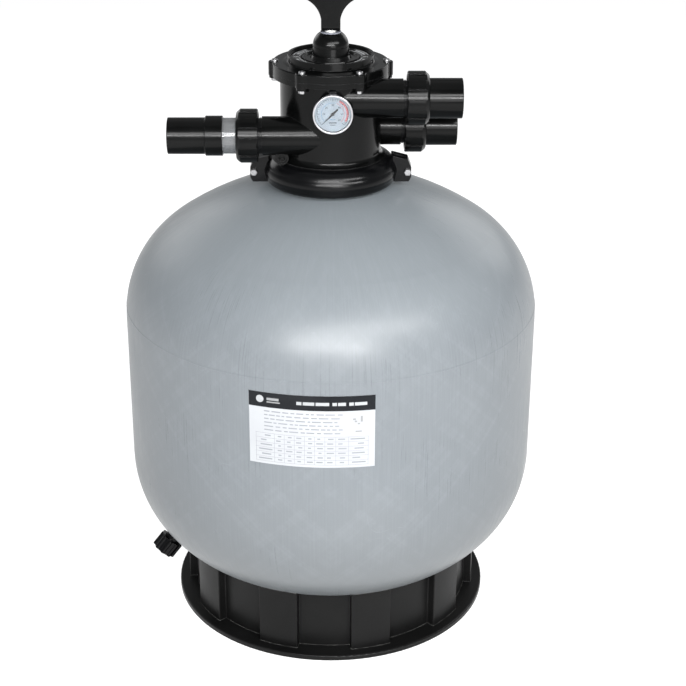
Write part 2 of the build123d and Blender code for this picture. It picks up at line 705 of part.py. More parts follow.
def valve_cover():
    """Cover with a spigot into the body, two raised rings and the domed hub round the stem."""
    with BuildPart() as cover:
        with BuildSketch(Plane.XY.offset(COVER_Z)):
            add(rim_sketch())
        extrude(amount=COVER_TOP - COVER_Z)
        fillet(cover.faces().sort_by(Axis.Z)[-1].edges(), 1.5)
        with BuildSketch(Plane.XZ):
            with BuildLine():
                Polyline(
                    (CAVITY_R, SPRING_HIGH + WASHER_THICK),
                    (CAVITY_R, COVER_Z - 4),
                    (SPIGOT_IN, COVER_Z - 4),
                    (SPIGOT_IN, COVER_SEAL_LOW),
                    (COVER_SEAL_IN, COVER_SEAL_LOW),
                    (COVER_SEAL_IN, COVER_SEAL_HIGH),
                    (CHAMBER_R - 0.3, COVER_SEAL_HIGH),
                    (CHAMBER_R - 0.3, COVER_Z),
                    (70, COVER_Z),
                    (70, COVER_TOP),
                    (RING_R + 2.5, COVER_TOP + 1),
                    (RING_R + 1.5, RING_TOP),
                    (RING_R - 2, RING_TOP),
                    (RING_R - 3, COVER_FLOOR),
                    (INNER_RING_R + 2.5, COVER_FLOOR),
                    (INNER_RING_R + 1.5, COVER_FLOOR + 2.5),
                    (INNER_RING_R - 1.5, COVER_FLOOR + 2.5),
                    (INNER_RING_R - 2.5, COVER_FLOOR),
                    (HUB_BASE_R + 2.5, COVER_FLOOR),
                    (HUB_BASE_R, COVER_FLOOR + 5),
                    (HUB_BASE_R - 1.5, HUB_TOP - 20),
                )
                shoulder = (HUB_BASE_R - 1.5, HUB_TOP - 20)
                ThreePointArc(shoulder, (HUB_BASE_R - 4.8, HUB_TOP - 7), (HUB_TOP_R, HUB_TOP))
                Polyline((HUB_TOP_R, HUB_TOP), (0, HUB_TOP), (0, SPRING_HIGH + WASHER_THICK))
                Line((0, SPRING_HIGH + WASHER_THICK), (CAVITY_R, SPRING_HIGH + WASHER_THICK))
            make_face()
        revolve(axis=Axis.Z)
        with BuildSketch(Plane.XY.offset(COVER_Z - 10)):
            Circle(CAVITY_R)
        extrude(amount=SPRING_HIGH + WASHER_THICK - COVER_Z + 10, mode=Mode.SUBTRACT)
        with BuildSketch(Plane.XY.offset(COVER_Z)):
            Circle(STEM_R + RUNNING)
        extrude(amount=HUB_TOP - COVER_Z + 1, mode=Mode.SUBTRACT)
        for height in STEM_SEALS:
            with BuildSketch(Plane.XY.offset(height)):
                Circle(STEM_R + STEM_SEAL)
            extrude(amount=STEM_SEAL_THICK, mode=Mode.SUBTRACT)
        with BuildSketch(Plane.XY.offset(COVER_Z - 1)):
            with Locations(*ear_points()):
                Circle(BOLT_R)
        extrude(amount=20, mode=Mode.SUBTRACT)
    write(cover, "valve_cover")


def cover_fasteners():
    """Six screws down through the cover's ears, and the six nuts under the body's ears."""
    with BuildPart() as bolts:
        with BuildSketch(Plane.XY.offset(COVER_TOP)):
            with Locations(*ear_points()):
                Circle(SCREW_HEAD_R)
        extrude(amount=SCREW_HEAD)
        fillet(bolts.faces().sort_by(Axis.Z)[-6:].edges(), SCREW_HEAD / 2)
        with BuildSketch(Plane.XY.offset(COVER_TOP + SCREW_HEAD)):
            with Locations(*ear_points()):
                RegularPolygon(2.3, 6)
        extrude(amount=-1.8, mode=Mode.SUBTRACT)
        with BuildSketch(Plane.XY.offset(COVER_TOP)):
            with Locations(*ear_points()):
                Circle(BOLT_R)
        extrude(amount=EAR_LOW - NUT_THICK - 0.8 - COVER_TOP)
    write(bolts, "cover_bolts")
    with BuildPart() as nuts:
        with BuildSketch(Plane.XY.offset(EAR_LOW - NUT_THICK)):
            with Locations(*ear_points()):
                RegularPolygon(HEX_R, 6)
                Circle(BOLT_R, mode=Mode.SUBTRACT)
        extrude(amount=NUT_THICK)
    write(nuts, "cover_nuts")


def small_valve_rings():
    """Cover O-ring, position plate, spring washers and the pale thrust washer."""
    seat = Plane.XY.offset(COVER_SEAL_LOW + 0.2)
    ring("cover_seal", seat, CHAMBER_R - 0.02, COVER_SEAL_IN + 0.02, 3.6)
    ring("position_plate", Plane.XY.offset(COVER_FLOOR), 57.5, 43.2, 1)
    hole = STEM_R + 0.4
    ring("spring_washer", Plane.XY.offset(SPRING_HIGH), CAVITY_R - 0.3, hole, WASHER_THICK)
    ring("slip_washer", Plane.XY.offset(SPRING_LOW - WASHER_THICK), CAVITY_R - 0.5, hole, WASHER_THICK)
    ring("thrust_washer", Plane.XY.offset(HUB_TOP), THRUST_R, hole, THRUST_TOP - HUB_TOP)
    with BuildPart() as seals:
        for height in STEM_SEALS:
            with BuildSketch(Plane.XY.offset(height)):
                Circle(STEM_R + STEM_SEAL)
                Circle(STEM_R + RUNNING, mode=Mode.SUBTRACT)
            extrude(amount=STEM_SEAL_THICK)
    write(seals, "stem_seals")


def spider_gasket():
    """Rubber gasket on the webs between the sectors, under the rotor."""
    with BuildPart() as gasket:
        with BuildSketch(Plane.XY.offset(SECTOR_HIGH)):
            Circle(CHAMBER_R - 0.4)
            Circle(SECTOR_R, mode=Mode.SUBTRACT)
            for number in range(SECTORS // 2):
                Rectangle(2 * SECTOR_R + 2, WEB, rotation=number * 60)
            Circle(CENTRE_TUBE_R)
        extrude(amount=GASKET_THICK)
    write(gasket, "spider_gasket")


def rotor():
    """Diverter disc with one open window and one channel below, on the turned stem."""
    disc_low = SECTOR_HIGH + GASKET_THICK + 0.02
    collar_high = SPRING_LOW - WASHER_THICK
    with BuildPart() as diverter:
        with BuildSketch(Plane.XY.offset(disc_low)):
            Circle(CHAMBER_R - 0.5)
        extrude(amount=ROTOR_THICK)
        with BuildSketch(Plane.XZ):
            with BuildLine():
                Polyline((0, disc_low + 5), (34, disc_low + 5), (34, disc_low + ROTOR_THICK), (COLLAR_R, 822))
                Polyline((COLLAR_R, 822), (COLLAR_R, collar_high), (STEM_R, collar_high), (STEM_R, PIVOT_Z))
                Polyline((STEM_R, PIVOT_Z), (0, PIVOT_Z), (0, disc_low + 5))
            make_face()
        revolve(axis=Axis.Z)
        with BuildSketch(Plane.YZ.offset(-STEM_R)):
            with Locations((0, PIVOT_Z)):
                Circle(STEM_R)
        extrude(amount=2 * STEM_R)
        with BuildSketch(Plane.XY.offset(disc_low - 1)):
            Circle(SECTOR_R - 3)
            Circle(36, mode=Mode.SUBTRACT)
            Polygon(*wedge(80, 246, 294), align=None, mode=Mode.INTERSECT)
        extrude(amount=20, mode=Mode.SUBTRACT)
        with BuildSketch(Plane.XY.offset(disc_low - 1)):
            Circle(SECTOR_R - 3)
            Circle(CENTRE_TUBE_R + 3, mode=Mode.SUBTRACT)
            Polygon(*wedge(80, 4, 56), align=None, mode=Mode.INTERSECT)
        extrude(amount=7, mode=Mode.SUBTRACT)
        with BuildSketch(Plane.XY.offset(PIVOT_Z - 14)):
            Circle(STEM_R + 6)
            Circle(STEM_R, mode=Mode.SUBTRACT)
        extrude(amount=30, mode=Mode.SUBTRACT)
        with BuildSketch(Plane.YZ.offset(-STEM_R - 1)):
            with Locations((0, PIVOT_Z)):
                Circle(PIN_R)
        extrude(amount=2 * STEM_R + 2, mode=Mode.SUBTRACT)
    write(diverter, "rotor")


def handle_pin():
    """Pin through the handle's fork and the stem."""
    with BuildPart() as pin:
        with BuildSketch(Plane.YZ.offset(-NECK_HALF + 0.5)):
            with Locations((0, PIVOT_Z)):
                Circle(PIN_R)
        extrude(amount=2 * NECK_HALF - 1)
    write(pin, "handle_pin")


def rotor_spring():
    """Ground-ended compression spring that holds the rotor down."""
    pitch = (SPRING_HIGH - SPRING_LOW) / (SPRING_TURNS - 1)
    with BuildPart() as spring:
        with BuildLine():
            coil = Helix(pitch, pitch * SPRING_TURNS, SPRING_COIL_R, center=(0, 0, SPRING_LOW - pitch / 2))
        with BuildSketch(Plane(origin=coil @ 0, z_dir=coil % 0)):
            Circle(WIRE_R)
        sweep(is_frenet=True)
        split(bisect_by=Plane.XY.offset(SPRING_LOW), keep=Keep.TOP)
        split(bisect_by=Plane.XY.offset(SPRING_HIGH), keep=Keep.BOTTOM)
    write(spring, "rotor_spring")


def cam_point(turn):
    """Point of the cam foot whose lowest height falls evenly as the handle turns back."""
    drop = PIVOT_Z - THRUST_TOP - CAM_GAP + CAM_RISE * radians(turn)
    angle = radians(turn)
    across = drop * sin(angle) + CAM_RISE * cos(angle)
    down = drop * cos(angle) - CAM_RISE * sin(angle)
    return (across, PIVOT_Z - down)


def handle():
    """T handle: neck with a closed front and two cam cheeks behind, flaring up into the cross bar."""
    foot_z = THRUST_TOP + CAM_GAP
    with BuildPart() as lever:
        with BuildSketch(Plane.XZ.offset(-NECK_DEPTH)):
            with BuildLine():
                for hand in (1, -1):
                    Line((hand * NECK_HALF, foot_z + 12), (hand * NECK_HALF, FLARE_LOW))
                    ThreePointArc(
                        (hand * NECK_HALF, FLARE_LOW),
                        (hand * (NECK_HALF + 7), FLARE_LOW + 17),
                        (hand * FLARE_HALF, BAR_LOW + 1),
                    )
                    Line((hand * FLARE_HALF, BAR_LOW + 1), (hand * FLARE_HALF, BAR_LOW + 8))
                Line((-NECK_HALF, foot_z + 12), (NECK_HALF, foot_z + 12))
                Line((-FLARE_HALF, BAR_LOW + 8), (FLARE_HALF, BAR_LOW + 8))
            make_face()
        extrude(amount=2 * NECK_DEPTH)
        with BuildSketch(Plane.YZ.offset(-NECK_HALF)):
            with BuildLine():
                foot = ThreePointArc(cam_point(0), cam_point(CAM_TURN / 2), cam_point(CAM_TURN))
                Line(foot @ 0, (-4, foot_z))
                ThreePointArc((-4, foot_z), (-NECK_DEPTH + 1.9, foot_z + 2.6), (-NECK_DEPTH, foot_z + 8))
                Line((-NECK_DEPTH, foot_z + 8), (-NECK_DEPTH, FLARE_LOW))
                Line((-NECK_DEPTH, FLARE_LOW), (NECK_DEPTH, FLARE_LOW))
                Line((NECK_DEPTH, FLARE_LOW), foot @ 1)
            make_face()
        extrude(amount=2 * NECK_HALF)
        front = lever.faces().filter_by(Axis.Y).sort_by(Axis.Y)[0]
        fillet(front.edges().filter_by(Axis.X, reverse=True), HANDLE_ROUND)
        back = lever.faces().filter_by(Axis.Y).sort_by(Axis.Y)[-1]
        fillet(back.edges().filter_by(Axis.X, reverse=True), HANDLE_ROUND)
        with BuildSketch(Plane.YZ.offset(-BAR_HALF)):
            with Locations((0, (BAR_LOW + BAR_HIGH) / 2)):
                Ellipse(BAR_DEPTH, (BAR_HIGH - BAR_LOW) / 2)
        extrude(amount=2 * BAR_HALF)
        fillet(lever.faces().filter_by(Axis.X).sort_by(Axis.X)[0].edges(), 6)
        fillet(lever.faces().filter_by(Axis.X).sort_by(Axis.X)[-1].edges(), 6)
        with BuildSketch(Plane.YZ.offset(-FORK_HALF)):
            with Locations((0, PIVOT_Z)):
                Circle(FORK_ROOM)
            with Locations((-FORK_ROOM, PIVOT_Z)):
                Rectangle(40, 20, align=(Align.MIN, Align.MAX))
            with Locations((0, PIVOT_Z)):
                Rectangle(40, FORK_ROOM, align=(Align.MIN, Align.MIN))
        extrude(amount=2 * FORK_HALF, mode=Mode.SUBTRACT)
        with BuildSketch(Plane.YZ.offset(-NECK_HALF - 1)):
            with Locations((0, PIVOT_Z)):
                Circle(PIN_R + RUNNING)
        extrude(amount=2 * NECK_HALF + 2, mode=Mode.SUBTRACT)
    write(lever, "handle")


def union_nut(name, port):
    """Ribbed union nut: threaded mouth over the port, lip behind the tail's shoulder."""
    seat = port[2]
    start = seat + SHOULDER_THICK + NUT_LIP - NUT_LENGTH
    end = start + NUT_LENGTH
    thread = THREAD_R + UNION_GAP
    lip = TAIL_R + UNION_GAP
    with BuildPart() as nut:
        with BuildSketch(port_section(port)):
            with BuildLine():
                Polyline(
                    (start, thread),
                    (start, NUT_R - 1.5),
                    (start + 1.5, NUT_R),
                    (end - 6, NUT_R),
                    (end - 1, NUT_R - 4.5),
                    (end, NUT_R - 6),
                    (end, lip),
                    (end - NUT_LIP, lip),
                    (end - NUT_LIP, thread),
                    close=True,
                )
            make_face()
        revolve(axis=port_axis(port))
        with BuildSketch(port_plane(port, start - 1)) as grooves:
            Circle(NUT_R + 3)
            Circle(NUT_ROOT, mode=Mode.SUBTRACT)
            for number in range(NUT_RIBS // 2):
                Rectangle(3 * NUT_R, RIB_WIDTH, rotation=number * 360 / NUT_RIBS, mode=Mode.SUBTRACT)
        extrude(amount=NUT_LENGTH + 2, mode=Mode.SUBTRACT)
    write(nut, name)


def socket_tail(name, port, length):
    """Union tail with a shoulder for the nut and a socket for the pipe."""
    seat = port[2]
    face = seat + FACE_GAP
    shoulder = seat + SHOULDER_THICK - FACE_GAP
    end = seat + length
    with BuildPart() as tail:
        with BuildSketch(port_section(port)):
            with BuildLine():
                Polyline(
                    (face, PORT_BORE),
                    (face, RING_IN),
                    (seat + RING_DEPTH, RING_IN),
                    (seat + RING_DEPTH, RING_OUT),
                    (face, RING_OUT),
                    (face, SHOULDER_R),
                    (shoulder, SHOULDER_R),
                    (shoulder, TAIL_R),
                    (end - 0.8, TAIL_R),
                    (end, TAIL_R - 0.8),
                    (end, SOCKET_R),
                    (end - SOCKET_DEPTH, SOCKET_R),
                    (end - SOCKET_DEPTH, PORT_BORE),
                    close=True,
                )
            make_face()
        revolve(axis=port_axis(port))
    write(tail, name)


def union_seal(name, port):
    """Square ring in the tail's face, against the port's sealing face."""
    ring(name, port_plane(port, port[2] + FACE_GAP), RING_OUT, RING_IN, RING_DEPTH - FACE_GAP)


def sight_glass():
    """Clear tube with the shoulder that the waste union holds."""
    seat = WASTE[2]
    face = seat + FACE_GAP
    shoulder = seat + SHOULDER_THICK - FACE_GAP
    with BuildPart() as glass:
        with BuildSketch(port_section(WASTE)):
            with BuildLine():
                Polyline(
                    (face, PORT_BORE),
                    (face, RING_IN),
                    (seat + RING_DEPTH, RING_IN),
                    (seat + RING_DEPTH, RING_OUT),
                    (face, RING_OUT),
                    (face, SHOULDER_R),
                    (shoulder, SHOULDER_R),
                    (shoulder, GLASS_R),
                    (GLASS_END, GLASS_R),
                    (GLASS_END, PORT_BORE),
                    close=True,
                )
            make_face()
        revolve(axis=port_axis(WASTE))
    write(glass, "sight_glass")


def waste_adapter():
    """Collar glued over the sight glass, and the stub with a pipe socket."""
    with BuildPart() as adapter:
        with BuildSketch(port_section(WASTE)):
            with BuildLine():
                Polyline(
                    (COLLAR_START, GLASS_R),
                    (COLLAR_START, TAIL_R - 0.6),
                    (COLLAR_START + 0.8, TAIL_R),
                    (COLLAR_END - 1.2, TAIL_R),
                    (COLLAR_END, STUB_R),
                    (STUB_END - 0.5, STUB_R),
                    (STUB_END, STUB_R - 0.5),
                    (STUB_END, SOCKET_R),
                    (STUB_END - SOCKET_DEPTH, SOCKET_R),
                    (STUB_END - SOCKET_DEPTH, PORT_BORE),
                    (GLASS_END, PORT_BORE),
                    (GLASS_END, GLASS_R),
                    close=True,
                )
            make_face()
        revolve(axis=port_axis(WASTE))
    write(adapter, "waste_adapter")


def gauge_plane(back):
    """Plane parallel to the dial, at a distance in front of the valve's axis."""
    return Plane(origin=(GAUGE_X, -back, GAUGE_Z), x_dir=(1, 0, 0), z_dir=(0, -1, 0))


def gauge_housing():
    """Pressure gauge's case with its vent lug, bezel, dial and lens."""
    with BuildPart() as case:
        with BuildSketch(gauge_plane(CASE_BACK)):
            Circle(GAUGE_R - BEZEL_SKIN)
        extrude(amount=LENS_BACK - CASE_BACK)
        with BuildSketch(gauge_plane(CASE_BACK + 2)):
            with Locations((0, GAUGE_R + 1.2)):
                RectangleRounded(10, 6, 1.5)
        extrude(amount=6)
        with BuildSketch(gauge_plane(CASE_BACK + CASE_WALL)):
            Circle(GAUGE_R - BEZEL_SKIN - CASE_WALL)
        extrude(amount=LENS_BACK - CASE_BACK, mode=Mode.SUBTRACT)
        with BuildSketch(gauge_plane(CASE_BACK - 1)):
            Circle(4)
        extrude(amount=4, mode=Mode.SUBTRACT)
    write(case, "gauge_case")
    with BuildPart() as bezel:
        with BuildSketch(gauge_plane(BEZEL_BACK)):
            Circle(GAUGE_R)
            Circle(GAUGE_R - BEZEL_SKIN, mode=Mode.SUBTRACT)
        extrude(amount=BEZEL_FACE - BEZEL_BACK)
        with BuildSketch(gauge_plane(BEZEL_FACE)):
            Circle(GAUGE_R)
            Circle(GAUGE_R - 2.6, mode=Mode.SUBTRACT)
        extrude(amount=BEZEL_LIP)
        fillet(bezel.faces().sort_by(Axis.Y)[0].edges(), 0.7)
    write(bezel, "gauge_bezel")
    ring("gauge_dial", gauge_plane(DIAL_BACK), GAUGE_R - BEZEL_SKIN - CASE_WALL - 0.1, 1.5, 0.8)
    with BuildPart() as lens:
        with BuildSketch(gauge_plane(LENS_BACK)):
            Circle(GAUGE_R - 1)
        extrude(amount=BEZEL_FACE - LENS_BACK - FACE_GAP)
    write(lens, "gauge_lens")


def gauge_works():
    """Needle on its spindle, the bourdon tube behind the dial, and the brass stem."""
    with BuildPart() as needle:
        with BuildSketch(gauge_plane(NEEDLE_BACK)):
            Circle(2.4)
            with BuildLine():
                Polyline(
                    polar(21, NEEDLE_TURN),
                    polar(1.6, NEEDLE_TURN - 60),
                    polar(9, NEEDLE_TURN + 180 + 8),
                    polar(11, NEEDLE_TURN + 180),
                    polar(9, NEEDLE_TURN + 180 - 8),
                    polar(1.6, NEEDLE_TURN + 60),
                    close=True,
                )
            make_face()
        extrude(amount=0.8)
        with BuildSketch(gauge_plane(NEEDLE_BACK - 3.1)):
            Circle(1.3)
        extrude(amount=3.1)
    write(needle, "gauge_needle")
    with BuildPart() as tube:
        with BuildLine(gauge_plane(DIAL_BACK - TUBE_R - 0.5)):
            coil = CenterArc((0, 0), TUBE_COIL_R, -80, 250)
        with BuildSketch(Plane(origin=coil @ 0, z_dir=coil % 0)):
            Circle(TUBE_R)
        sweep()
    write(tube, "bourdon_tube")
    with BuildPart() as stem:
        with BuildSketch(gauge_plane(CHAMBER_R - 0.5)):
            Circle(GAUGE_STEM_R)
        extrude(amount=CASE_BACK - CHAMBER_R + 0.5)
        with BuildSketch(gauge_plane(CASE_BACK)):
            Circle(4)
        extrude(amount=3.5)
        with BuildSketch(gauge_plane(CHAMBER_R - 6)):
            Circle(2)
        extrude(amount=14, mode=Mode.SUBTRACT)
    write(stem, "gauge_stem")


def drain():
    """Drain through the lower dome: spigot, gasket, back nut, strainer, cap seal and lobed cap."""
    with BuildPart() as spigot:
        with BuildSketch(drain_plane(-DRAIN_IN)):
            Circle(DRAIN_TUBE_R)
        extrude(amount=DRAIN_IN + DRAIN_OUT)
        with BuildSketch(drain_plane(2 * BOSS_RISE)):
            Circle(DRAIN_FLANGE_R)
        extrude(amount=5)
        fillet(spigot.faces().filter_by(GeomType.PLANE).sort_by(SortBy.AREA)[-1].outer_wire().edges(), 1)
        with BuildSketch(drain_plane(-DRAIN_IN - 1)):
            Circle(DRAIN_TUBE_R - DRAIN_WALL)
        extrude(amount=DRAIN_IN + DRAIN_OUT + 2, mode=Mode.SUBTRACT)
    write(spigot, "drain_spigot")
    ring("drain_gasket", drain_plane(BOSS_RISE), GASKET_R, DRAIN_TUBE_R, BOSS_RISE)
    with BuildPart() as nut:
        with BuildSketch(drain_plane(-18)):
            RegularPolygon(21, 6)
            Circle(DRAIN_TUBE_R, mode=Mode.SUBTRACT)
        extrude(amount=8)
    write(nut, "drain_nut")
    with BuildPart() as strainer:
        with BuildSketch(drain_plane(-DRAIN_IN - STRAINER_LENGTH)):
            Circle(DRAIN_TUBE_R)
        extrude(amount=STRAINER_LENGTH)
        with BuildSketch(drain_plane(-DRAIN_IN - STRAINER_LENGTH + 3)):
            Circle(DRAIN_TUBE_R - 2.5)
        extrude(amount=STRAINER_LENGTH, mode=Mode.SUBTRACT)
        for step in range(STRAINER_SLOTS):
            with BuildSketch(drain_plane(10 - DRAIN_IN - STRAINER_LENGTH + step * 8)):
                Rectangle(40, 10)
            extrude(amount=1.5, mode=Mode.SUBTRACT)
    write(strainer, "drain_strainer")
    ring("drain_cap_seal", drain_plane(DRAIN_OUT + FACE_GAP), DRAIN_TUBE_R, 4, CAP_SEAL)
    with BuildPart() as cap:
        with BuildSketch(drain_plane(CAP_START)):
            Circle(CAP_R - 2.4)
            with PolarLocations(CAP_R - LOBE_R, CAP_LOBES):
                Circle(LOBE_R)
        extrude(amount=CAP_LENGTH)
        fillet(cap.faces().filter_by(GeomType.PLANE).edges(), 0.9)
        with BuildSketch(drain_plane(CAP_START - 1)):
            Circle(DRAIN_TUBE_R + UNION_GAP)
        extrude(amount=DRAIN_OUT + FACE_GAP + CAP_SEAL + 0.05 - CAP_START + 1, mode=Mode.SUBTRACT)
    write(cap, "drain_cap")


tank_shell()
spec_label()
tank_base()
tank_neck()
clamp_half("clamp_front", 1)
clamp_half("clamp_rear", -1)
clamp_fasteners()
standpipe()
lateral_hub()
laterals()
top_diffuser()
neck_seals()
valve_body()
port_plug()
valve_cover()
cover_fasteners()
small_valve_rings()
spider_gasket()
rotor()
handle_pin()
rotor_spring()
handle()
union_nut("pump_union_nut", PUMP)
union_nut("return_union_nut", RETURN)
union_nut("waste_union_nut", WASTE)
socket_tail("pump_tail", PUMP, PUMP_TAIL)
socket_tail("return_tail", RETURN, RETURN_TAIL)
sight_glass()
waste_adapter()
union_seal("pump_seal", PUMP)
union_seal("return_seal", RETURN)
union_seal("waste_seal", WASTE)
gauge_housing()
gauge_works()
drain()
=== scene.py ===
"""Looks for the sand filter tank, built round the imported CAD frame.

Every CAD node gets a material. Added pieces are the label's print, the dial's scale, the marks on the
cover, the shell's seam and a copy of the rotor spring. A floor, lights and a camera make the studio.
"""

import json
import math
import random

import bpy
from mathutils import Matrix, Vector


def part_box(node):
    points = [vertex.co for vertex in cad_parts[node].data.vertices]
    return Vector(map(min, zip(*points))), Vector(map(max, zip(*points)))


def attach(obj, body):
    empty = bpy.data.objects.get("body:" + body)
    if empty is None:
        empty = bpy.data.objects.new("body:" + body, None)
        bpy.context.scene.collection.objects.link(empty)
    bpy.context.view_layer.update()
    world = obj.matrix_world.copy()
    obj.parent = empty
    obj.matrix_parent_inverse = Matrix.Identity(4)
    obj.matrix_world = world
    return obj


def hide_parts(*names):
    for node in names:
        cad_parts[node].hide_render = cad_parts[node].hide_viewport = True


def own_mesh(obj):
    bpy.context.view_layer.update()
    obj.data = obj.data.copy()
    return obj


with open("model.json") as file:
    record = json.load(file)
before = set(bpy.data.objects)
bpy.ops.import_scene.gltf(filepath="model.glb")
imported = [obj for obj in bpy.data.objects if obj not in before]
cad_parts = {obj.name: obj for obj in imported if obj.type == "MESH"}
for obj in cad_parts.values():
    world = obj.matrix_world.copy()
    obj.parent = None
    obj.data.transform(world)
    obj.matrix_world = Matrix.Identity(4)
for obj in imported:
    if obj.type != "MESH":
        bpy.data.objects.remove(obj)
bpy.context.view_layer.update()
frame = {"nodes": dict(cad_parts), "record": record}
NODES = frame["nodes"]
RECORD = frame["record"]
MM = 0.001
ROUND = 2 * math.pi
SHARP_ANGLE = math.radians(32)


# ---------------------------------------------------------------- mesh helpers


def join_model(name, mesh):
    """Put a mesh into the scene as a named piece of the standing body, and return its object."""
    made = bpy.data.objects.new(name, mesh)
    bpy.context.scene.collection.objects.link(made)
    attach(made, "root")
    return made


def piece(name, points, faces, material):
    """Make a piece from points in the row frame and faces, smooth with sharp corners."""
    mesh = bpy.data.meshes.new(name)
    mesh.from_pydata(points, [], faces)
    mesh.validate()
    mesh.update()
    for polygon in mesh.polygons:
        polygon.use_smooth = True
    mesh.set_sharp_from_angle(angle=SHARP_ANGLE)
    mesh.materials.append(material)
    join_model(name, mesh)


def rounded(corners, steps):
    """Closed outline from (x, y, radius) corners, each corner turned into an arc."""
    outline = []
    count = len(corners)
    for index, (x, y, radius) in enumerate(corners):
        here = Vector((x, y))
        if radius <= 0:
            outline.append((x, y))
            continue
        before = Vector(corners[index - 1][:2]) - here
        after = Vector(corners[(index + 1) % count][:2]) - here
        half = before.angle(after) / 2
        reach = min(radius / math.tan(half), 0.49 * before.length, 0.49 * after.length)
        true_radius = reach * math.tan(half)
        start = here + before.normalized() * reach
        end = here + after.normalized() * reach
        inward = (before.normalized() + after.normalized()).normalized()
        centre = here + inward * (true_radius / math.sin(half))
        from_angle = math.atan2(start.y - centre.y, start.x - centre.x)
        turn = math.atan2(end.y - centre.y, end.x - centre.x) - from_angle
        turn = (turn + math.pi) % ROUND - math.pi
        for step in range(steps + 1):
            angle = from_angle + turn * step / steps
            across = true_radius * math.cos(angle)
            up = true_radius * math.sin(angle)
            outline.append((centre.x + across, centre.y + up))
    return outline


def turned(outline, segments):
    """Points and faces of a closed outline of (radius, height) turned about Z."""
    points = []
    faces = []
    count = len(outline)
    for step in range(segments):
        angle = ROUND * step / segments
        for radius, height in outline:
            points.append((radius * math.cos(angle), radius * math.sin(angle), height))
    for step in range(segments):
        here = step * count
        beside = (step + 1) % segments * count
        for index in range(count):
            after = (index + 1) % count
            faces.append((here + index, here + after, beside + after, beside + index))
    return points, faces


def slab(outlines, near, far):
    """Points and faces of thin closed plates; near and far put (u, v) points on the two skins."""
    points = []
    faces = []
    for outline in outlines:
        start = len(points)
        count = len(outline)
        points += [near(u, v) for u, v in outline] + [far(u, v) for u, v in outline]
        for index in range(count):
            after = (index + 1) % count
            faces.append((start + index, start + after, start + count + after, start + count + index))
        half = count // 2
        for index in range(half - 1):
            side = (index, index + 1, count - 2 - index, count - 1 - index)
            faces.append(tuple(start + corner for corner in reversed(side)))
            faces.append(tuple(start + count + corner for corner in side))
    return points, faces


def strip(low_u, high_u, low_v, high_v, steps):
    """Outline of a box as a ladder: along the low edge in steps, and back along the high edge."""
    bottom = [(low_u + (high_u - low_u) * step / steps, low_v) for step in range(steps + 1)]
    top = [(high_u - (high_u - low_u) * step / steps, high_v) for step in range(steps + 1)]
    return bottom + top


def disc(centre_u, centre_v, radius, steps=24):
    """Outline of a disc, started so that its two halves make a ladder."""
    half = steps // 2
    turn = [math.pi * (1 + (step + 0.5) / half) for step in range(half)]
    lower = [(centre_u + radius * math.cos(a), centre_v + radius * math.sin(a)) for a in turn]
    upper = [(centre_u + radius * math.cos(a), centre_v - radius * math.sin(a)) for a in reversed(turn)]
    return lower + upper


def arc_band(inner, outer, start, end, steps):
    """Outline of a band between two radii and two angles in degrees, as a ladder."""
    angles = [math.radians(start + (end - start) * step / steps) for step in range(steps + 1)]
    near = [(inner * math.cos(a), inner * math.sin(a)) for a in angles]
    far = [(outer * math.cos(a), outer * math.sin(a)) for a in reversed(angles)]
    return near + far


# ---------------------------------------------------------------- materials


CORNER_LEAN = 0.75
FLAT_LEAN = 0.98


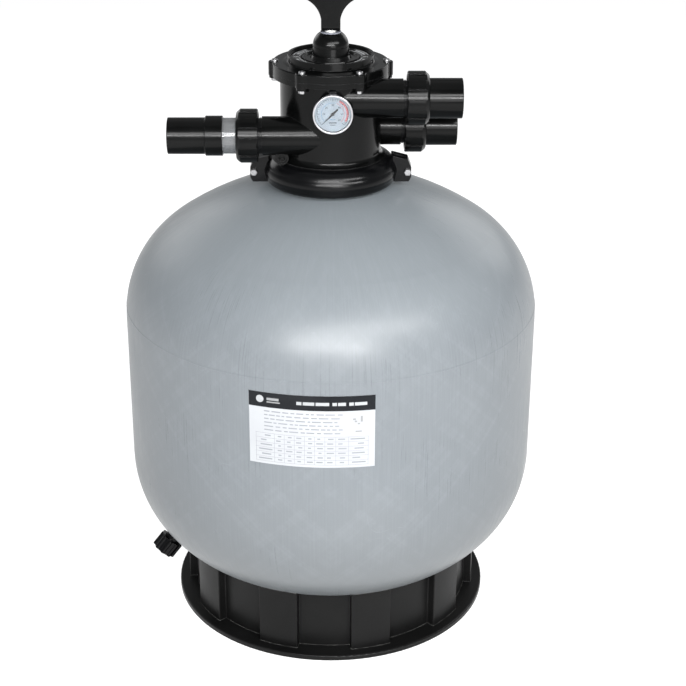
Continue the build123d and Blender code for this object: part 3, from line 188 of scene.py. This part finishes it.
class Look:
    """A small builder for node materials. Noise scales are per metre, and bump heights are in metres."""

    def __init__(self, name):
        self.material = bpy.data.materials.new(name)
        self.material.use_nodes = True
        self.nodes = self.material.node_tree.nodes
        self.links = self.material.node_tree.links
        self.shader = self.nodes["Principled BSDF"]

    def add(self, kind, **settings):
        node = self.nodes.new(kind)
        for key, value in settings.items():
            setattr(node, key, value)
        return node

    def link(self, source, target):
        self.links.new(source, target)

    def set(self, **values):
        for key, value in values.items():
            self.shader.inputs[key.replace("_", " ")].default_value = value

    def position(self, scale=(1, 1, 1)):
        """Place on the object, stretched by a scale."""
        coordinates = self.add("ShaderNodeTexCoord")
        mapping = self.add("ShaderNodeMapping")
        mapping.inputs["Scale"].default_value = scale
        self.link(coordinates.outputs["Object"], mapping.inputs["Vector"])
        return mapping.outputs["Vector"]

    def noise(self, vector, scale, detail=4.0, rough=0.55):
        """Cloudy noise from 0 to 1."""
        node = self.add("ShaderNodeTexNoise")
        node.inputs["Scale"].default_value = scale
        node.inputs["Detail"].default_value = detail
        node.inputs["Roughness"].default_value = rough
        self.link(vector, node.inputs["Vector"])
        return node.outputs["Fac"]

    def spread(self, value, low, high, from_low=0.3, from_high=0.7):
        """Map a value from one range to another; the default takes the middle of a noise."""
        node = self.add("ShaderNodeMapRange")
        node.inputs["From Min"].default_value = from_low
        node.inputs["From Max"].default_value = from_high
        node.inputs["To Min"].default_value = low
        node.inputs["To Max"].default_value = high
        self.link(value, node.inputs["Value"])
        return node.outputs["Result"]

    def math(self, operation, first, second):
        """Sum, product or angle of two values, each a number or a socket."""
        node = self.add("ShaderNodeMath", operation=operation)
        for socket, value in zip(node.inputs, (first, second)):
            if isinstance(value, (int, float)):
                socket.default_value = value
            else:
                self.link(value, socket)
        return node.outputs[0]

    def mix(self, factor, first, second):
        """Blend of two colours, each a tuple or a socket."""
        node = self.add("ShaderNodeMix", data_type="RGBA")
        for socket, value in ((node.inputs[0], factor), (node.inputs[6], first), (node.inputs[7], second)):
            if isinstance(value, (int, float)):
                socket.default_value = value
            elif isinstance(value, tuple):
                socket.default_value = (*value[:3], 1)
            else:
                self.link(value, socket)
        return node.outputs[2]

    def edges(self, radius):
        """1 on corners, 0 on flats, from how far the rounded normal leans from the plain one; it places
        the pale rubbed corners and their painted highlight.
        """
        bevel = self.add("ShaderNodeBevel", samples=6)
        bevel.inputs["Radius"].default_value = radius
        plain = self.add("ShaderNodeNewGeometry")
        dot = self.add("ShaderNodeVectorMath", operation="DOT_PRODUCT")
        self.link(bevel.outputs["Normal"], dot.inputs[0])
        self.link(plain.outputs["Normal"], dot.inputs[1])
        return self.spread(dot.outputs["Value"], 1.0, 0.0, CORNER_LEAN, FLAT_LEAN)

    def softened(self, radius):
        """Normal that rounds every corner a little."""
        bevel = self.add("ShaderNodeBevel", samples=4)
        bevel.inputs["Radius"].default_value = radius
        return bevel.outputs["Normal"]

    def scratches(self, vector, scale, width):
        """Thin wandering lines, broken into short lengths."""
        wander = self.add("ShaderNodeVectorMath", operation="ADD")
        swirl = self.add("ShaderNodeTexNoise")
        swirl.inputs["Scale"].default_value = scale * 0.7
        self.link(vector, swirl.inputs["Vector"])
        self.link(vector, wander.inputs[0])
        self.link(swirl.outputs["Color"], wander.inputs[1])
        cells = self.add("ShaderNodeTexVoronoi", feature="DISTANCE_TO_EDGE")
        cells.inputs["Scale"].default_value = scale
        self.link(wander.outputs[0], cells.inputs["Vector"])
        line = self.spread(cells.outputs["Distance"], 1.0, 0.0, 0.0, width)
        part = self.spread(self.noise(vector, scale * 2.3, 5, 0.7), 0.0, 1.0, 0.56, 0.66)
        return self.math("MULTIPLY", line, part)

    def bump(self, height, distance, strength, previous=None):
        """Normal pushed about by a height, on top of an earlier normal if there is one."""
        node = self.add("ShaderNodeBump")
        node.inputs["Strength"].default_value = strength
        node.inputs["Distance"].default_value = distance
        self.link(height, node.inputs["Height"])
        if previous is not None:
            self.link(previous, node.inputs["Normal"])
        return node.outputs["Normal"]

    def colour(self, value):
        self.link(value, self.shader.inputs["Base Color"])

    def roughness(self, value):
        self.link(value, self.shader.inputs["Roughness"])

    def normal(self, value):
        self.link(value, self.shader.inputs["Normal"])


def moulded(
    name,
    colour,
    rough,
    grain=0.00003,
    rub_and_painted_highlight=(0.07, 0.07, 0.075),
    rub_and_highlight_share=0.35,
    specular=0.4,
    corner=0.0012,
):
    """Moulded plastic: fine grain, uneven gloss, dusty patches, and pale corners that are partly rubbed
    and partly a painted highlight.
    """
    look = Look(name)
    where = look.position()
    patches = look.noise(where, 9, 5)
    fine = look.noise(where, 700, 2)
    ripple = look.noise(where, 60, 3)
    lighter = tuple(1.5 * value + 0.001 for value in colour)
    base = look.mix(look.spread(patches, 0, 1, 0.35, 0.75), colour, lighter)
    speck = look.spread(look.noise(where, 260, 3, 0.7), 0, 1, 0.62, 0.8)
    broken = look.spread(look.noise(where, 120, 4), 0.2, 1, 0.4, 0.6)
    # The pale corners are partly rubbing and partly a painted highlight along the edges.
    edge = look.math("MULTIPLY", look.edges(corner), broken)
    base = look.mix(look.math("MULTIPLY", edge, rub_and_highlight_share), base, rub_and_painted_highlight)
    base = look.mix(look.math("MULTIPLY", speck, 0.06), base, rub_and_painted_highlight)
    look.colour(base)
    look.roughness(look.spread(patches, rough - 0.05, rough + 0.08))
    soft = look.bump(ripple, 0.0001, 0.3, look.softened(0.0008))
    look.normal(look.bump(fine, grain, 0.6, soft))
    look.set(Specular_IOR_Level=specular)
    return look.material


COAT = (0.144, 0.159, 0.172)
COAT_LIGHT = (0.162, 0.178, 0.191)
STREAK = (0.25, 0.27, 0.288)
STRAND = (0.205, 0.224, 0.240)
SCUFF = (0.33, 0.35, 0.37)
SCRATCH = (0.42, 0.45, 0.47)
DOME_PAINTED_LIGHT = (0.210, 0.238, 0.256)
LOW_DARKER = (0.118, 0.121, 0.118)
STREAKS_ROUND = 40.0
STREAK_STRETCH = 2.2
STRAND_LEAN = 0.55
STRAND_CLIMB = 1.9
STRANDS_ROUND = 14.0
STRAND_STRETCH = 0.8
SCUFF_STRETCH = (1, 1, 5)

# Heights in metres: a painted lightening of the dome, in place of light from above, comes in over the
# first pair, and the wall gets darker towards the bottom over the second.
TOP_LIGHTENING_START = 0.53
TOP_LIGHTENING_FULL = 0.72
LOW_DARK_FULL = 0.12
LOW_DARK_END = 0.34


def wound_strands(look, turn, high):
    """Two sets of strands that cross on the slant, averaged."""
    bands = []
    for lean in (STRAND_LEAN, -STRAND_LEAN):
        wound = look.add("ShaderNodeCombineXYZ")
        climb = look.math("MULTIPLY", high, STRAND_CLIMB)
        slope = look.math("ADD", look.math("MULTIPLY", turn, lean), climb)
        look.link(look.math("MULTIPLY", slope, STRANDS_ROUND), wound.inputs[0])
        look.link(look.math("MULTIPLY", high, STRAND_STRETCH), wound.inputs[1])
        bands.append(look.noise(wound.outputs[0], 2.0, 5, 0.65))
    return look.math("MULTIPLY", look.math("ADD", bands[0], bands[1]), 0.5)


def upright_streaks(look, turn, high):
    """Fine streaks that run up the wall."""
    join = look.add("ShaderNodeCombineXYZ")
    look.link(look.math("MULTIPLY", turn, STREAKS_ROUND), join.inputs[0])
    look.link(look.math("MULTIPLY", high, STREAK_STRETCH), join.inputs[1])
    return look.noise(join.outputs[0], 3.2, 6, 0.7)


def fibreglass():
    """Satin coat over wound fibreglass: upright streaks, faint crossing strands, mottling and scuffs; the
    dome is painted lighter towards the top in place of light from above, and the wall is darker towards
    the bottom.
    """
    look = Look("wound_fibreglass")
    where = look.position()
    split = look.add("ShaderNodeSeparateXYZ")
    look.link(where, split.inputs[0])
    across, deep, high = split.outputs
    turn = look.math("ARCTAN2", across, deep)
    streaks = upright_streaks(look, turn, high)
    cross = wound_strands(look, turn, high)
    mottle = look.noise(where, 5.5, 5)
    fine = look.noise(where, 420, 3)
    base = look.mix(look.spread(mottle, 0, 1), COAT, COAT_LIGHT)
    base = look.mix(look.spread(streaks, 0, 0.22, 0.45, 0.75), base, STREAK)
    base = look.mix(look.spread(cross, 0, 0.35, 0.50, 0.64), base, STRAND)
    scuff = look.spread(look.noise(look.position(SCUFF_STRETCH), 30, 6, 0.75), 0, 0.35, 0.66, 0.8)
    base = look.mix(scuff, base, SCUFF)
    scratch = look.scratches(where, 5.0, 0.0035)
    base = look.mix(look.math("MULTIPLY", scratch, 0.22), base, SCRATCH)
    # Painted light: the dome's colour is made lighter towards the top, standing in for light from above.
    base = look.mix(look.spread(high, 0.0, 0.55, TOP_LIGHTENING_START, TOP_LIGHTENING_FULL), base, DOME_PAINTED_LIGHT)
    # The wall's colour gets darker towards the bottom.
    low_dark = look.spread(high, 0.45, 0.0, LOW_DARK_FULL, LOW_DARK_END)
    base = look.mix(look.math("MULTIPLY", low_dark, look.spread(mottle, 0.6, 1.0)), base, LOW_DARKER)
    look.colour(base)
    sheen = look.spread(streaks, 0.27, 0.41, 0.35, 0.65)
    look.roughness(look.math("ADD", sheen, look.spread(mottle, -0.05, 0.08)))
    first = look.bump(streaks, 0.00006, 0.22)
    second = look.bump(cross, 0.0005, 0.35, first)
    look.normal(look.bump(fine, 0.00004, 0.5, second))
    look.set(Specular_IOR_Level=0.4)
    return look.material


def metal(name, colour, rough):
    """Metal with fine machining marks and uneven tarnish."""
    look = Look(name)
    where = look.position()
    marks = look.noise(where, 900, 3)
    tarnish = look.noise(where, 60, 4)
    dull = tuple(0.62 * value for value in colour)
    look.colour(look.mix(look.spread(tarnish, 0, 0.6), colour, dull))
    look.roughness(look.spread(marks, rough - 0.06, rough + 0.12))
    look.normal(look.bump(marks, 0.00003, 0.5))
    look.set(Metallic=1.0)
    return look.material


def clear_plastic(name, tint, rough, streaky=0.0002, through=1.0, specular=0.5):
    """Clear moulding with faint flow lines."""
    look = Look(name)
    where = look.position()
    flow = look.noise(where, 70, 3)
    look.roughness(look.spread(flow, rough, rough + 0.05))
    look.normal(look.bump(flow, streaky, 0.35))
    look.colour(look.mix(look.spread(flow, 0, 1), tint, tuple(0.93 * value for value in tint)))
    look.set(Transmission_Weight=through, IOR=1.45, Specular_IOR_Level=specular)
    return look.material


def rubber(name):
    """Dull black rubber."""
    look = Look(name)
    where = look.position()
    look.colour(look.mix(look.noise(where, 80, 4), (0.012, 0.012, 0.012), (0.035, 0.035, 0.034)))
    look.roughness(look.spread(look.noise(where, 40, 3), 0.6, 0.8))
    look.normal(look.bump(look.noise(where, 900, 2), 0.00005, 0.6))
    return look.material


def printed(name, colour, rough, dirt, specular=0.3):
    """Printed film: slight fading and fine paper-like grain."""
    look = Look(name)
    where = look.position()
    look.colour(look.mix(look.spread(look.noise(where, 26, 5), 0, 1), colour, dirt))
    look.roughness(look.spread(look.noise(where, 50, 3), rough - 0.05, rough + 0.08))
    look.normal(look.bump(look.noise(where, 500, 2), 0.00002, 0.4))
    look.set(Specular_IOR_Level=specular)
    return look.material


MATERIALS = {
    "tank": fibreglass(),
    "black_gloss": moulded("black_gloss_abs", (0.0012, 0.0013, 0.0013), 0.17, specular=0.165),
    "black_satin": moulded("black_satin_abs", (0.0015, 0.0016, 0.0019), 0.2, specular=0.19),
    "black_matte": moulded(
        "black_matte_base",
        (0.0040, 0.0040, 0.0040),
        0.36,
        grain=0.00006,
        # Strong pale corners on the base: partly rubbing, partly a painted highlight on the flange edges.
        rub_and_painted_highlight=(0.12, 0.12, 0.115),
        rub_and_highlight_share=0.9,
        specular=0.15,
        corner=0.002,
    ),
    "label": printed("label_white", (0.40, 0.415, 0.43), 0.4, (0.37, 0.38, 0.40)),
    "plate": printed("plate_black", (0.012, 0.012, 0.013), 0.35, (0.02, 0.02, 0.021)),
    "steel": metal("stainless", (0.46, 0.46, 0.47), 0.3),
    "spring_steel": metal("spring_steel", (0.45, 0.45, 0.46), 0.32),
    "rubber": rubber("black_rubber"),
    "inner_plastic": moulded("pale_inner_plastic", (0.62, 0.62, 0.60), 0.4, rub_and_painted_highlight=(0.75, 0.75, 0.74)),
    "pale_plastic": moulded("pale_acetal", (0.15, 0.157, 0.185), 0.3, rub_and_painted_highlight=(0.5, 0.5, 0.52)),
    "clear": clear_plastic("clear_sight_glass", (0.42, 0.43, 0.44), 0.13, through=0.8, specular=1.0),
    "lens": clear_plastic("gauge_lens_clear", (0.96, 0.98, 1.0), 0.02, streaky=0.00003),
    "bezel": metal("bezel_steel", (0.56, 0.56, 0.58), 0.3),
    "dial": printed("dial_face", (0.44, 0.50, 0.55), 0.35, (0.40, 0.46, 0.51)),
    "needle": printed("needle_black", (0.006, 0.006, 0.008), 0.35, (0.012, 0.012, 0.014)),
    "brass": metal("brass", (0.72, 0.53, 0.25), 0.3),
}

for part in RECORD["subparts"]:
    node = NODES[part["node"]]
    node.data.materials.clear()
    node.data.materials.append(MATERIALS[part["material_slot"]])


# ---------------------------------------------------------------- printed and fitted details

TANK_R = 313.5 * MM
LABEL_SKIN = 313.65 * MM
LABEL_LEFT = math.radians(-111.25)
LABEL_RIGHT = math.radians(-78.65)
LABEL_LOW = 371.3 * MM
LABEL_TALL = 111.4 * MM
LABEL_WIDE = LABEL_SKIN * (LABEL_RIGHT - LABEL_LEFT)
INK = 0.05 * MM

# The label's layout, in fractions of its width and height. A bar is left, right, low, high.
HEADER_LOW = 0.795
EMBLEM_ACROSS = 0.092
EMBLEM_UP = 0.905
EMBLEM_R = 0.050
WORDS = (
    (0.385, 0.425),
    (0.435, 0.525),
    (0.535, 0.640),
    (0.665, 0.700),
    (0.708, 0.770),
    (0.795, 0.830),
    (0.838, 0.935),
)
WORD_LOW = 0.868
WORD_HIGH = 0.912
SMALL_WORDS = (
    (0.148, 0.245, 0.895, 0.930),
    (0.148, 0.255, 0.862, 0.880),
)
CORNER_MARKS = (
    (0.825, 0.848, 0.665, 0.690),
    (0.838, 0.858, 0.635, 0.658),
    (0.885, 0.902, 0.640, 0.720),
    (0.862, 0.880, 0.605, 0.625),
    (0.845, 0.895, 0.500, 0.516),
)
TEXT_LINES = 6
TEXT_TOP = 0.735
TEXT_STEP = 0.052
TEXT_TALL = 0.016
TEXT_LEFT = 0.125
TEXT_LAST_START = 0.72
TEXT_RIGHT = 0.745
COLUMNS = (0.055, 0.205, 0.285, 0.365, 0.445, 0.525, 0.605, 0.690, 0.790, 0.945)
CELL_EDGE = 0.01
CELL_TALL = 0.018
TABLE_ROWS = 6
TABLE_TOP = 0.395
TABLE_STEP = 0.066
RULE_TOP = 0.432
RULE_TALL = 0.0035
RULE_WIDE = 0.0025
RULE_FOOT = 0.036
RULE_LEFT = 0.05
RULE_RIGHT = 0.95

INKS = {
    "dark": printed("ink_dark", (0.010, 0.011, 0.013), 0.46, (0.016, 0.017, 0.019), 0.06),
    "white": printed("ink_white", (0.36, 0.37, 0.38), 0.4, (0.32, 0.33, 0.34)),
    "grey": printed("ink_grey", (0.20, 0.21, 0.23), 0.42, (0.25, 0.26, 0.28)),
    "mid": printed("ink_mid_grey", (0.20, 0.205, 0.21), 0.4, (0.25, 0.255, 0.26)),
    "red": printed("ink_red", (0.62, 0.16, 0.17), 0.36, (0.58, 0.20, 0.20)),
    "pale": printed("ink_pale", (0.58, 0.59, 0.60), 0.42, (0.46, 0.47, 0.48)),
    "blue": printed("ink_blue", (0.13, 0.30, 0.46), 0.36, (0.16, 0.33, 0.48)),
}


def on_label(raise_by):
    """Function from label fractions (0 to 1 across and up) to a point on the label, raised a little."""

    def place(across, up):
        angle = LABEL_LEFT + (LABEL_RIGHT - LABEL_LEFT) * across
        radius = LABEL_SKIN + raise_by
        return (radius * math.cos(angle), radius * math.sin(angle), LABEL_LOW + LABEL_TALL * up)

    return place


def text_bars(rng):
    """Bars in place of lines of small text."""
    bars = []
    for line in range(TEXT_LINES):
        up = TEXT_TOP - line * TEXT_STEP
        start = TEXT_LEFT
        while start < TEXT_LAST_START:
            length = rng.uniform(0.02, 0.075)
            bars.append(strip(start, min(start + length, TEXT_RIGHT), up, up + TEXT_TALL, 3))
            start += length + rng.uniform(0.010, 0.022)
    return bars


def table_bars(rng):
    """One bar in each cell of the table."""
    bars = []
    for line in range(TABLE_ROWS):
        up = TABLE_TOP - line * TABLE_STEP
        for left, right in zip(COLUMNS[:-1], COLUMNS[1:]):
            room = right - left - 2 * CELL_EDGE
            length = room * rng.uniform(0.35, 0.9)
            first = left + CELL_EDGE + (room - length) * rng.uniform(0.2, 0.8)
            bars.append(strip(first, first + length, up, up + CELL_TALL, 3))
    return bars


def table_rules():
    """Thin lines round the table's cells."""
    rules = []
    for line in range(TABLE_ROWS + 1):
        up = RULE_TOP - line * TABLE_STEP
        rules.append(strip(RULE_LEFT, RULE_RIGHT, up, up + RULE_TALL, 16))
    for edge in COLUMNS:
        rules.append(strip(edge, edge + RULE_WIDE, RULE_FOOT, RULE_TOP + RULE_TALL, 2))
    return rules


def label_print():
    """Generic print on the label: dark header, plain disc, word-like bars, text lines and a table."""
    header = [strip(0.0, 1.0, HEADER_LOW, 1.0, 40)]
    squeeze = LABEL_TALL / LABEL_WIDE
    flat_disc = disc(EMBLEM_ACROSS, EMBLEM_UP, EMBLEM_R)
    words = [[(EMBLEM_ACROSS + (u - EMBLEM_ACROSS) * squeeze, v) for u, v in flat_disc]]
    words += [strip(low, high, WORD_LOW, WORD_HIGH, 3) for low, high in WORDS]
    small_words = [strip(*bar, 3) for bar in SMALL_WORDS]
    rng = random.Random(11)
    rows = text_bars(rng) + table_bars(rng)
    marks = [strip(*bar, 2) for bar in CORNER_MARKS]
    for name, outlines, low, high, ink in (
        ("label_header", header, 0, 1, "dark"),
        ("label_words", words, 1, 2, "white"),
        ("label_small_words", small_words, 1, 2, "mid"),
        ("label_rows", rows, 0, 1, "grey"),
        ("label_rules", table_rules(), 1, 2, "grey"),
        ("label_marks", marks, 0, 1, "mid"),
    ):
        points, faces = slab(outlines, on_label(low * INK), on_label(high * INK))
        piece(name, points, faces, INKS[ink])


GAUGE_X = 3.0
GAUGE_Z = 815.0
DIAL_FACE = -83.3 * MM
SCALE_START = 225.0
SCALE_SWEEP = 270.0

# Radii and widths on the dial, in millimetres, then shares of the scale.
TICK_WIDE = 0.32
LONG_TICK_WIDE = 0.62
TICK_FOOT = 20.0
LONG_TICK_FOOT = 18.6
TICK_TOP = 22.2
RIM_TOP = 22.6
RED_FOOT = 19.4
INNER_ARC_FOOT = 15.9
INNER_ARC_TOP = 16.5
LOW_ARC_FOOT = 8.2
LOW_ARC_TOP = 9.0
NUMBER_R = 12.9
NUMBER_TALL = 4.0
BLUE_END = 0.55
INNER_RED_START = 0.57
RED_START = 0.60
RED_END = 0.95
DIVISIONS = 30
LONG_EVERY = 5
NUMBERS = 7


def on_dial(raise_by):
    """Function from dial millimetres (right and up) to a point just in front of the dial."""

    def place(right, up):
        return ((GAUGE_X + right) * MM, DIAL_FACE - raise_by, (GAUGE_Z + up) * MM)

    return place


def dial_angle(share):
    """Angle in degrees of a share of the scale, clockwise from lower left to lower right."""
    return SCALE_START - SCALE_SWEEP * share


def spoke(angle, inner, outer, width):
    """Outline of a short radial bar."""
    outward = Vector((math.cos(math.radians(angle)), math.sin(math.radians(angle))))
    across = Vector((-outward.y, outward.x)) * width / 2
    foot = outward * inner
    top = outward * outer
    return [tuple(corner) for corner in (foot - across, top - across, top + across, foot + across)]


def scale_ticks():
    """Ticks round the scale, every few of them one longer and wider."""
    ticks = []
    for step in range(DIVISIONS + 1):
        angle = dial_angle(step / DIVISIONS)
        if step % LONG_EVERY == 0:
            ticks.append(spoke(angle, LONG_TICK_FOOT, TICK_TOP, LONG_TICK_WIDE))
        else:
            ticks.append(spoke(angle, TICK_FOOT, TICK_TOP, TICK_WIDE))
    return ticks


def dial_number(number):
    """One number of the scale, as a thin mesh cut from text."""
    text = bpy.data.curves.new("dial_number", "FONT")
    text.body = str(number * 10)
    text.size = NUMBER_TALL * MM
    text.extrude = INK / 2
    text.align_x = "CENTER"
    text.align_y = "CENTER"
    maker = bpy.data.objects.new("dial_number_maker", text)
    bpy.context.scene.collection.objects.link(maker)
    mesh = bpy.data.meshes.new_from_object(maker.evaluated_get(bpy.context.evaluated_depsgraph_get()))
    bpy.data.objects.remove(maker)
    angle = math.radians(dial_angle(number / (NUMBERS - 1)))
    place = on_dial(INK / 2)(NUMBER_R * math.cos(angle), NUMBER_R * math.sin(angle))
    mesh.transform(Matrix.Translation(place) @ Matrix.Rotation(math.radians(90), 4, "X"))
    mesh.materials.clear()
    mesh.materials.append(INKS["dark"])
    join_model(f"dial_number_{number}", mesh)


def dial_print():
    """Scale of ticks, numbers and coloured arcs on the dial."""
    rings = [arc_band(TICK_TOP, RIM_TOP, dial_angle(0), dial_angle(1), 72)]
    blue = [
        arc_band(INNER_ARC_FOOT, INNER_ARC_TOP, dial_angle(0), dial_angle(BLUE_END), 48),
        arc_band(LOW_ARC_FOOT, LOW_ARC_TOP, -115, -65, 16),
    ]
    red = [
        arc_band(RED_FOOT, TICK_TOP, dial_angle(RED_START), dial_angle(RED_END), 40),
        arc_band(INNER_ARC_FOOT, INNER_ARC_TOP, dial_angle(INNER_RED_START), dial_angle(1), 40),
    ]
    words = [strip(-5.5, 5.5, -13.6, -12.4, 4), strip(-3.6, 3.6, -16.6, -15.8, 4)]
    for name, outlines, low, high, ink in (
        ("dial_red_arcs", red, 0, 1, "red"),
        ("dial_blue_arcs", blue, 0, 1, "blue"),
        ("dial_ticks", scale_ticks() + rings + words, 1, 2, "dark"),
    ):
        points, faces = slab(outlines, on_dial(low * INK), on_dial(high * INK))
        piece(name, points, faces, INKS[ink])
    for number in range(NUMBERS):
        dial_number(number)


# Marks on the cover's plate: radii and widths in millimetres, angles in degrees.
POSITIONS = 6
FIRST_POSITION = -90
MARK_RISE = 0.15 * MM
INNER_LINE = (45.2, 46.0)
OUTER_LINE = (54.6, 55.4)
INNER_HALF = 24
OUTER_HALF = 20
WORD_BAND = (48.6, 52.0)
DIVIDER = (46.5, 54.2)
DIVIDER_WIDE = 1.1
WORD_BARS = 5
BARS_START = -15
BAR_STEP = 6.2
BAR_SWEEP = 3.4


def cover_marks():
    """Pale raised position marks on the plate between the cover's rings, one field for each position."""
    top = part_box("position_plate")[1][2]
    field = 360 / POSITIONS
    outlines = []
    for number in range(POSITIONS):
        middle = FIRST_POSITION + number * field
        outlines.append(arc_band(*INNER_LINE, middle - INNER_HALF, middle + INNER_HALF, 16))
        outlines.append(arc_band(*OUTER_LINE, middle - OUTER_HALF, middle + OUTER_HALF, 16))
        outlines.append(spoke(middle + field / 2, *DIVIDER, DIVIDER_WIDE))
        for step in range(WORD_BARS):
            start = middle + BARS_START + step * BAR_STEP
            outlines.append(arc_band(*WORD_BAND, start, start + BAR_SWEEP, 4))
    points, faces = slab(
        outlines,
        lambda x, y: (x * MM, y * MM, top),
        lambda x, y: (x * MM, y * MM, top + MARK_RISE),
    )
    piece("position_marks", points, faces, INKS["pale"])


# The seam sits on the knuckle, a little above where the straight wall ends, with its foot in the wall.
KNUCKLE_R = 160.0 * MM
WALL_TOP = 486.1 * MM
SEAM_RISE = 15.4 * MM
SEAM_HEIGHT = WALL_TOP + SEAM_RISE
SEAM_HALF = 1.3 * MM
SEAM_CORNER = 0.3 * MM


def shell_seam():
    """Slightly raised line round the shoulder, where the shell's two halves meet."""
    middle = TANK_R - KNUCKLE_R + math.sqrt(KNUCKLE_R**2 - SEAM_RISE**2)
    low = SEAM_HEIGHT - SEAM_HALF
    high = SEAM_HEIGHT + SEAM_HALF
    outline = rounded(
        [
            (middle - 0.6 * MM, low, 0),
            (middle + 0.30 * MM, low, SEAM_CORNER),
            (middle + 0.12 * MM, high, SEAM_CORNER),
            (middle - 0.8 * MM, high, 0),
        ],
        3,
    )
    points, faces = turned(outline, 256)
    piece("shell_seam", points, faces, MATERIALS["tank"])


def lifting_spring():
    """Copy of the rotor spring, put in the model in place of the spring node, which is hidden."""
    spring = NODES["rotor_spring"]
    coil = spring.data.copy()
    coil.transform(spring.matrix_world)
    made = join_model("shortening_spring", coil)
    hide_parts("rotor_spring")
    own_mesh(made)


label_print()
dial_print()
cover_marks()
shell_seam()
lifting_spring()


# ---------------------------------------------------------------- studio


def aim(thing, target):
    """Turn a light towards a point."""
    thing.rotation_euler = (Vector(target) - thing.location).to_track_quat("-Z", "Y").to_euler()


def softbox(name, place, target, width, height, power):
    """Rectangular soft light: metres and watts."""
    data = bpy.data.lights.new(name, "AREA")
    data.shape = "RECTANGLE"
    data.size = width
    data.size_y = height
    data.energy = power
    light = bpy.data.objects.new(name, data)
    bpy.context.scene.collection.objects.link(light)
    light.location = place
    aim(light, target)


FLOOR_REACH = 30.0
FLOOR_GLOW = 0.88


def floor():
    """Large pale floor, lit from within so that it stays white."""
    look = Look("studio_floor")
    where = look.position()
    look.colour(look.mix(look.noise(where, 3, 4), (0.33, 0.33, 0.33), (0.35, 0.35, 0.35)))
    look.set(Roughness=0.9, Specular_IOR_Level=0.1)
    look.set(Emission_Color=(1, 1, 1, 1), Emission_Strength=FLOOR_GLOW)
    mesh = bpy.data.meshes.new("floor")
    corners = [(-1, -1), (1, -1), (1, 1), (-1, 1)]
    mesh.from_pydata([(FLOOR_REACH * x, FLOOR_REACH * y, 0) for x, y in corners], [], [(0, 1, 2, 3)])
    ground = bpy.data.objects.new("floor", mesh)
    ground.data.materials.append(look.material)
    bpy.context.scene.collection.objects.link(ground)


ROOM_LOW = 0.38
ROOM_TOP = 0.16
ROOM_SEEN = 0.97


def sky():
    """Room light, dimmer overhead; the room itself shows as white."""
    world = bpy.data.worlds.new("room")
    bpy.context.scene.world = world
    world.use_nodes = True
    nodes = world.node_tree.nodes
    links = world.node_tree.links
    where = nodes.new("ShaderNodeTexCoord")
    split = nodes.new("ShaderNodeSeparateXYZ")
    ramp = nodes.new("ShaderNodeMapRange")
    links.new(where.outputs["Generated"], split.inputs[0])
    links.new(split.outputs[2], ramp.inputs["Value"])
    ramp.inputs["From Min"].default_value = 0.0
    ramp.inputs["From Max"].default_value = 1.0
    ramp.inputs["To Min"].default_value = ROOM_LOW
    ramp.inputs["To Max"].default_value = ROOM_TOP
    ray = nodes.new("ShaderNodeLightPath")
    seen = nodes.new("ShaderNodeMix")
    links.new(ray.outputs["Is Camera Ray"], seen.inputs["Factor"])
    links.new(ramp.outputs["Result"], seen.inputs["A"])
    seen.inputs["B"].default_value = ROOM_SEEN
    links.new(seen.outputs["Result"], nodes["Background"].inputs["Strength"])
    nodes["Background"].inputs["Color"].default_value = (0.97, 0.985, 1.0, 1)


CAMERA_BACK = 2.3166
CAMERA_HIGH = 1.4745
CAMERA_PITCH = 24.46
CAMERA_LENS = 85.45
CAMERA_SHIFT = 0.0179


def camera():
    """Camera in front of the object and above it, looking slightly down."""
    data = bpy.data.cameras.new("camera")
    data.lens = CAMERA_LENS
    data.sensor_width = 36.0
    data.shift_x = CAMERA_SHIFT
    eye = bpy.data.objects.new("camera", data)
    eye.location = (0, -CAMERA_BACK, CAMERA_HIGH)
    eye.rotation_euler = (math.radians(90 - CAMERA_PITCH), 0, 0)
    bpy.context.scene.collection.objects.link(eye)
    bpy.context.scene.camera = eye


MIDDLE = (0, 0, 0.55)

camera()
floor()
sky()
softbox("front", place=(0.9, -3.2, 1.35), target=MIDDLE, width=1.6, height=1.4, power=34)
softbox("shoulder", place=(0.78, -2.35, 2.34), target=(0, -0.2, 0.60), width=4.0, height=0.50, power=104)
softbox("pipe_strip", place=(-0.1, -3.0, 1.72), target=(0, -0.1, 0.80), width=2.5, height=0.12, power=86)
softbox("overhead", place=(0.2, 0.3, 2.9), target=(0, 0, 0.6), width=3.2, height=2.2, power=7)
softbox("rear_left", place=(-1.9, 2.4, 1.7), target=MIDDLE, width=1.8, height=1.4, power=16)
softbox("rear_right", place=(1.9, 2.4, 1.7), target=MIDDLE, width=1.8, height=1.4, power=16)
bpy.context.scene.view_settings.view_transform = "Standard"
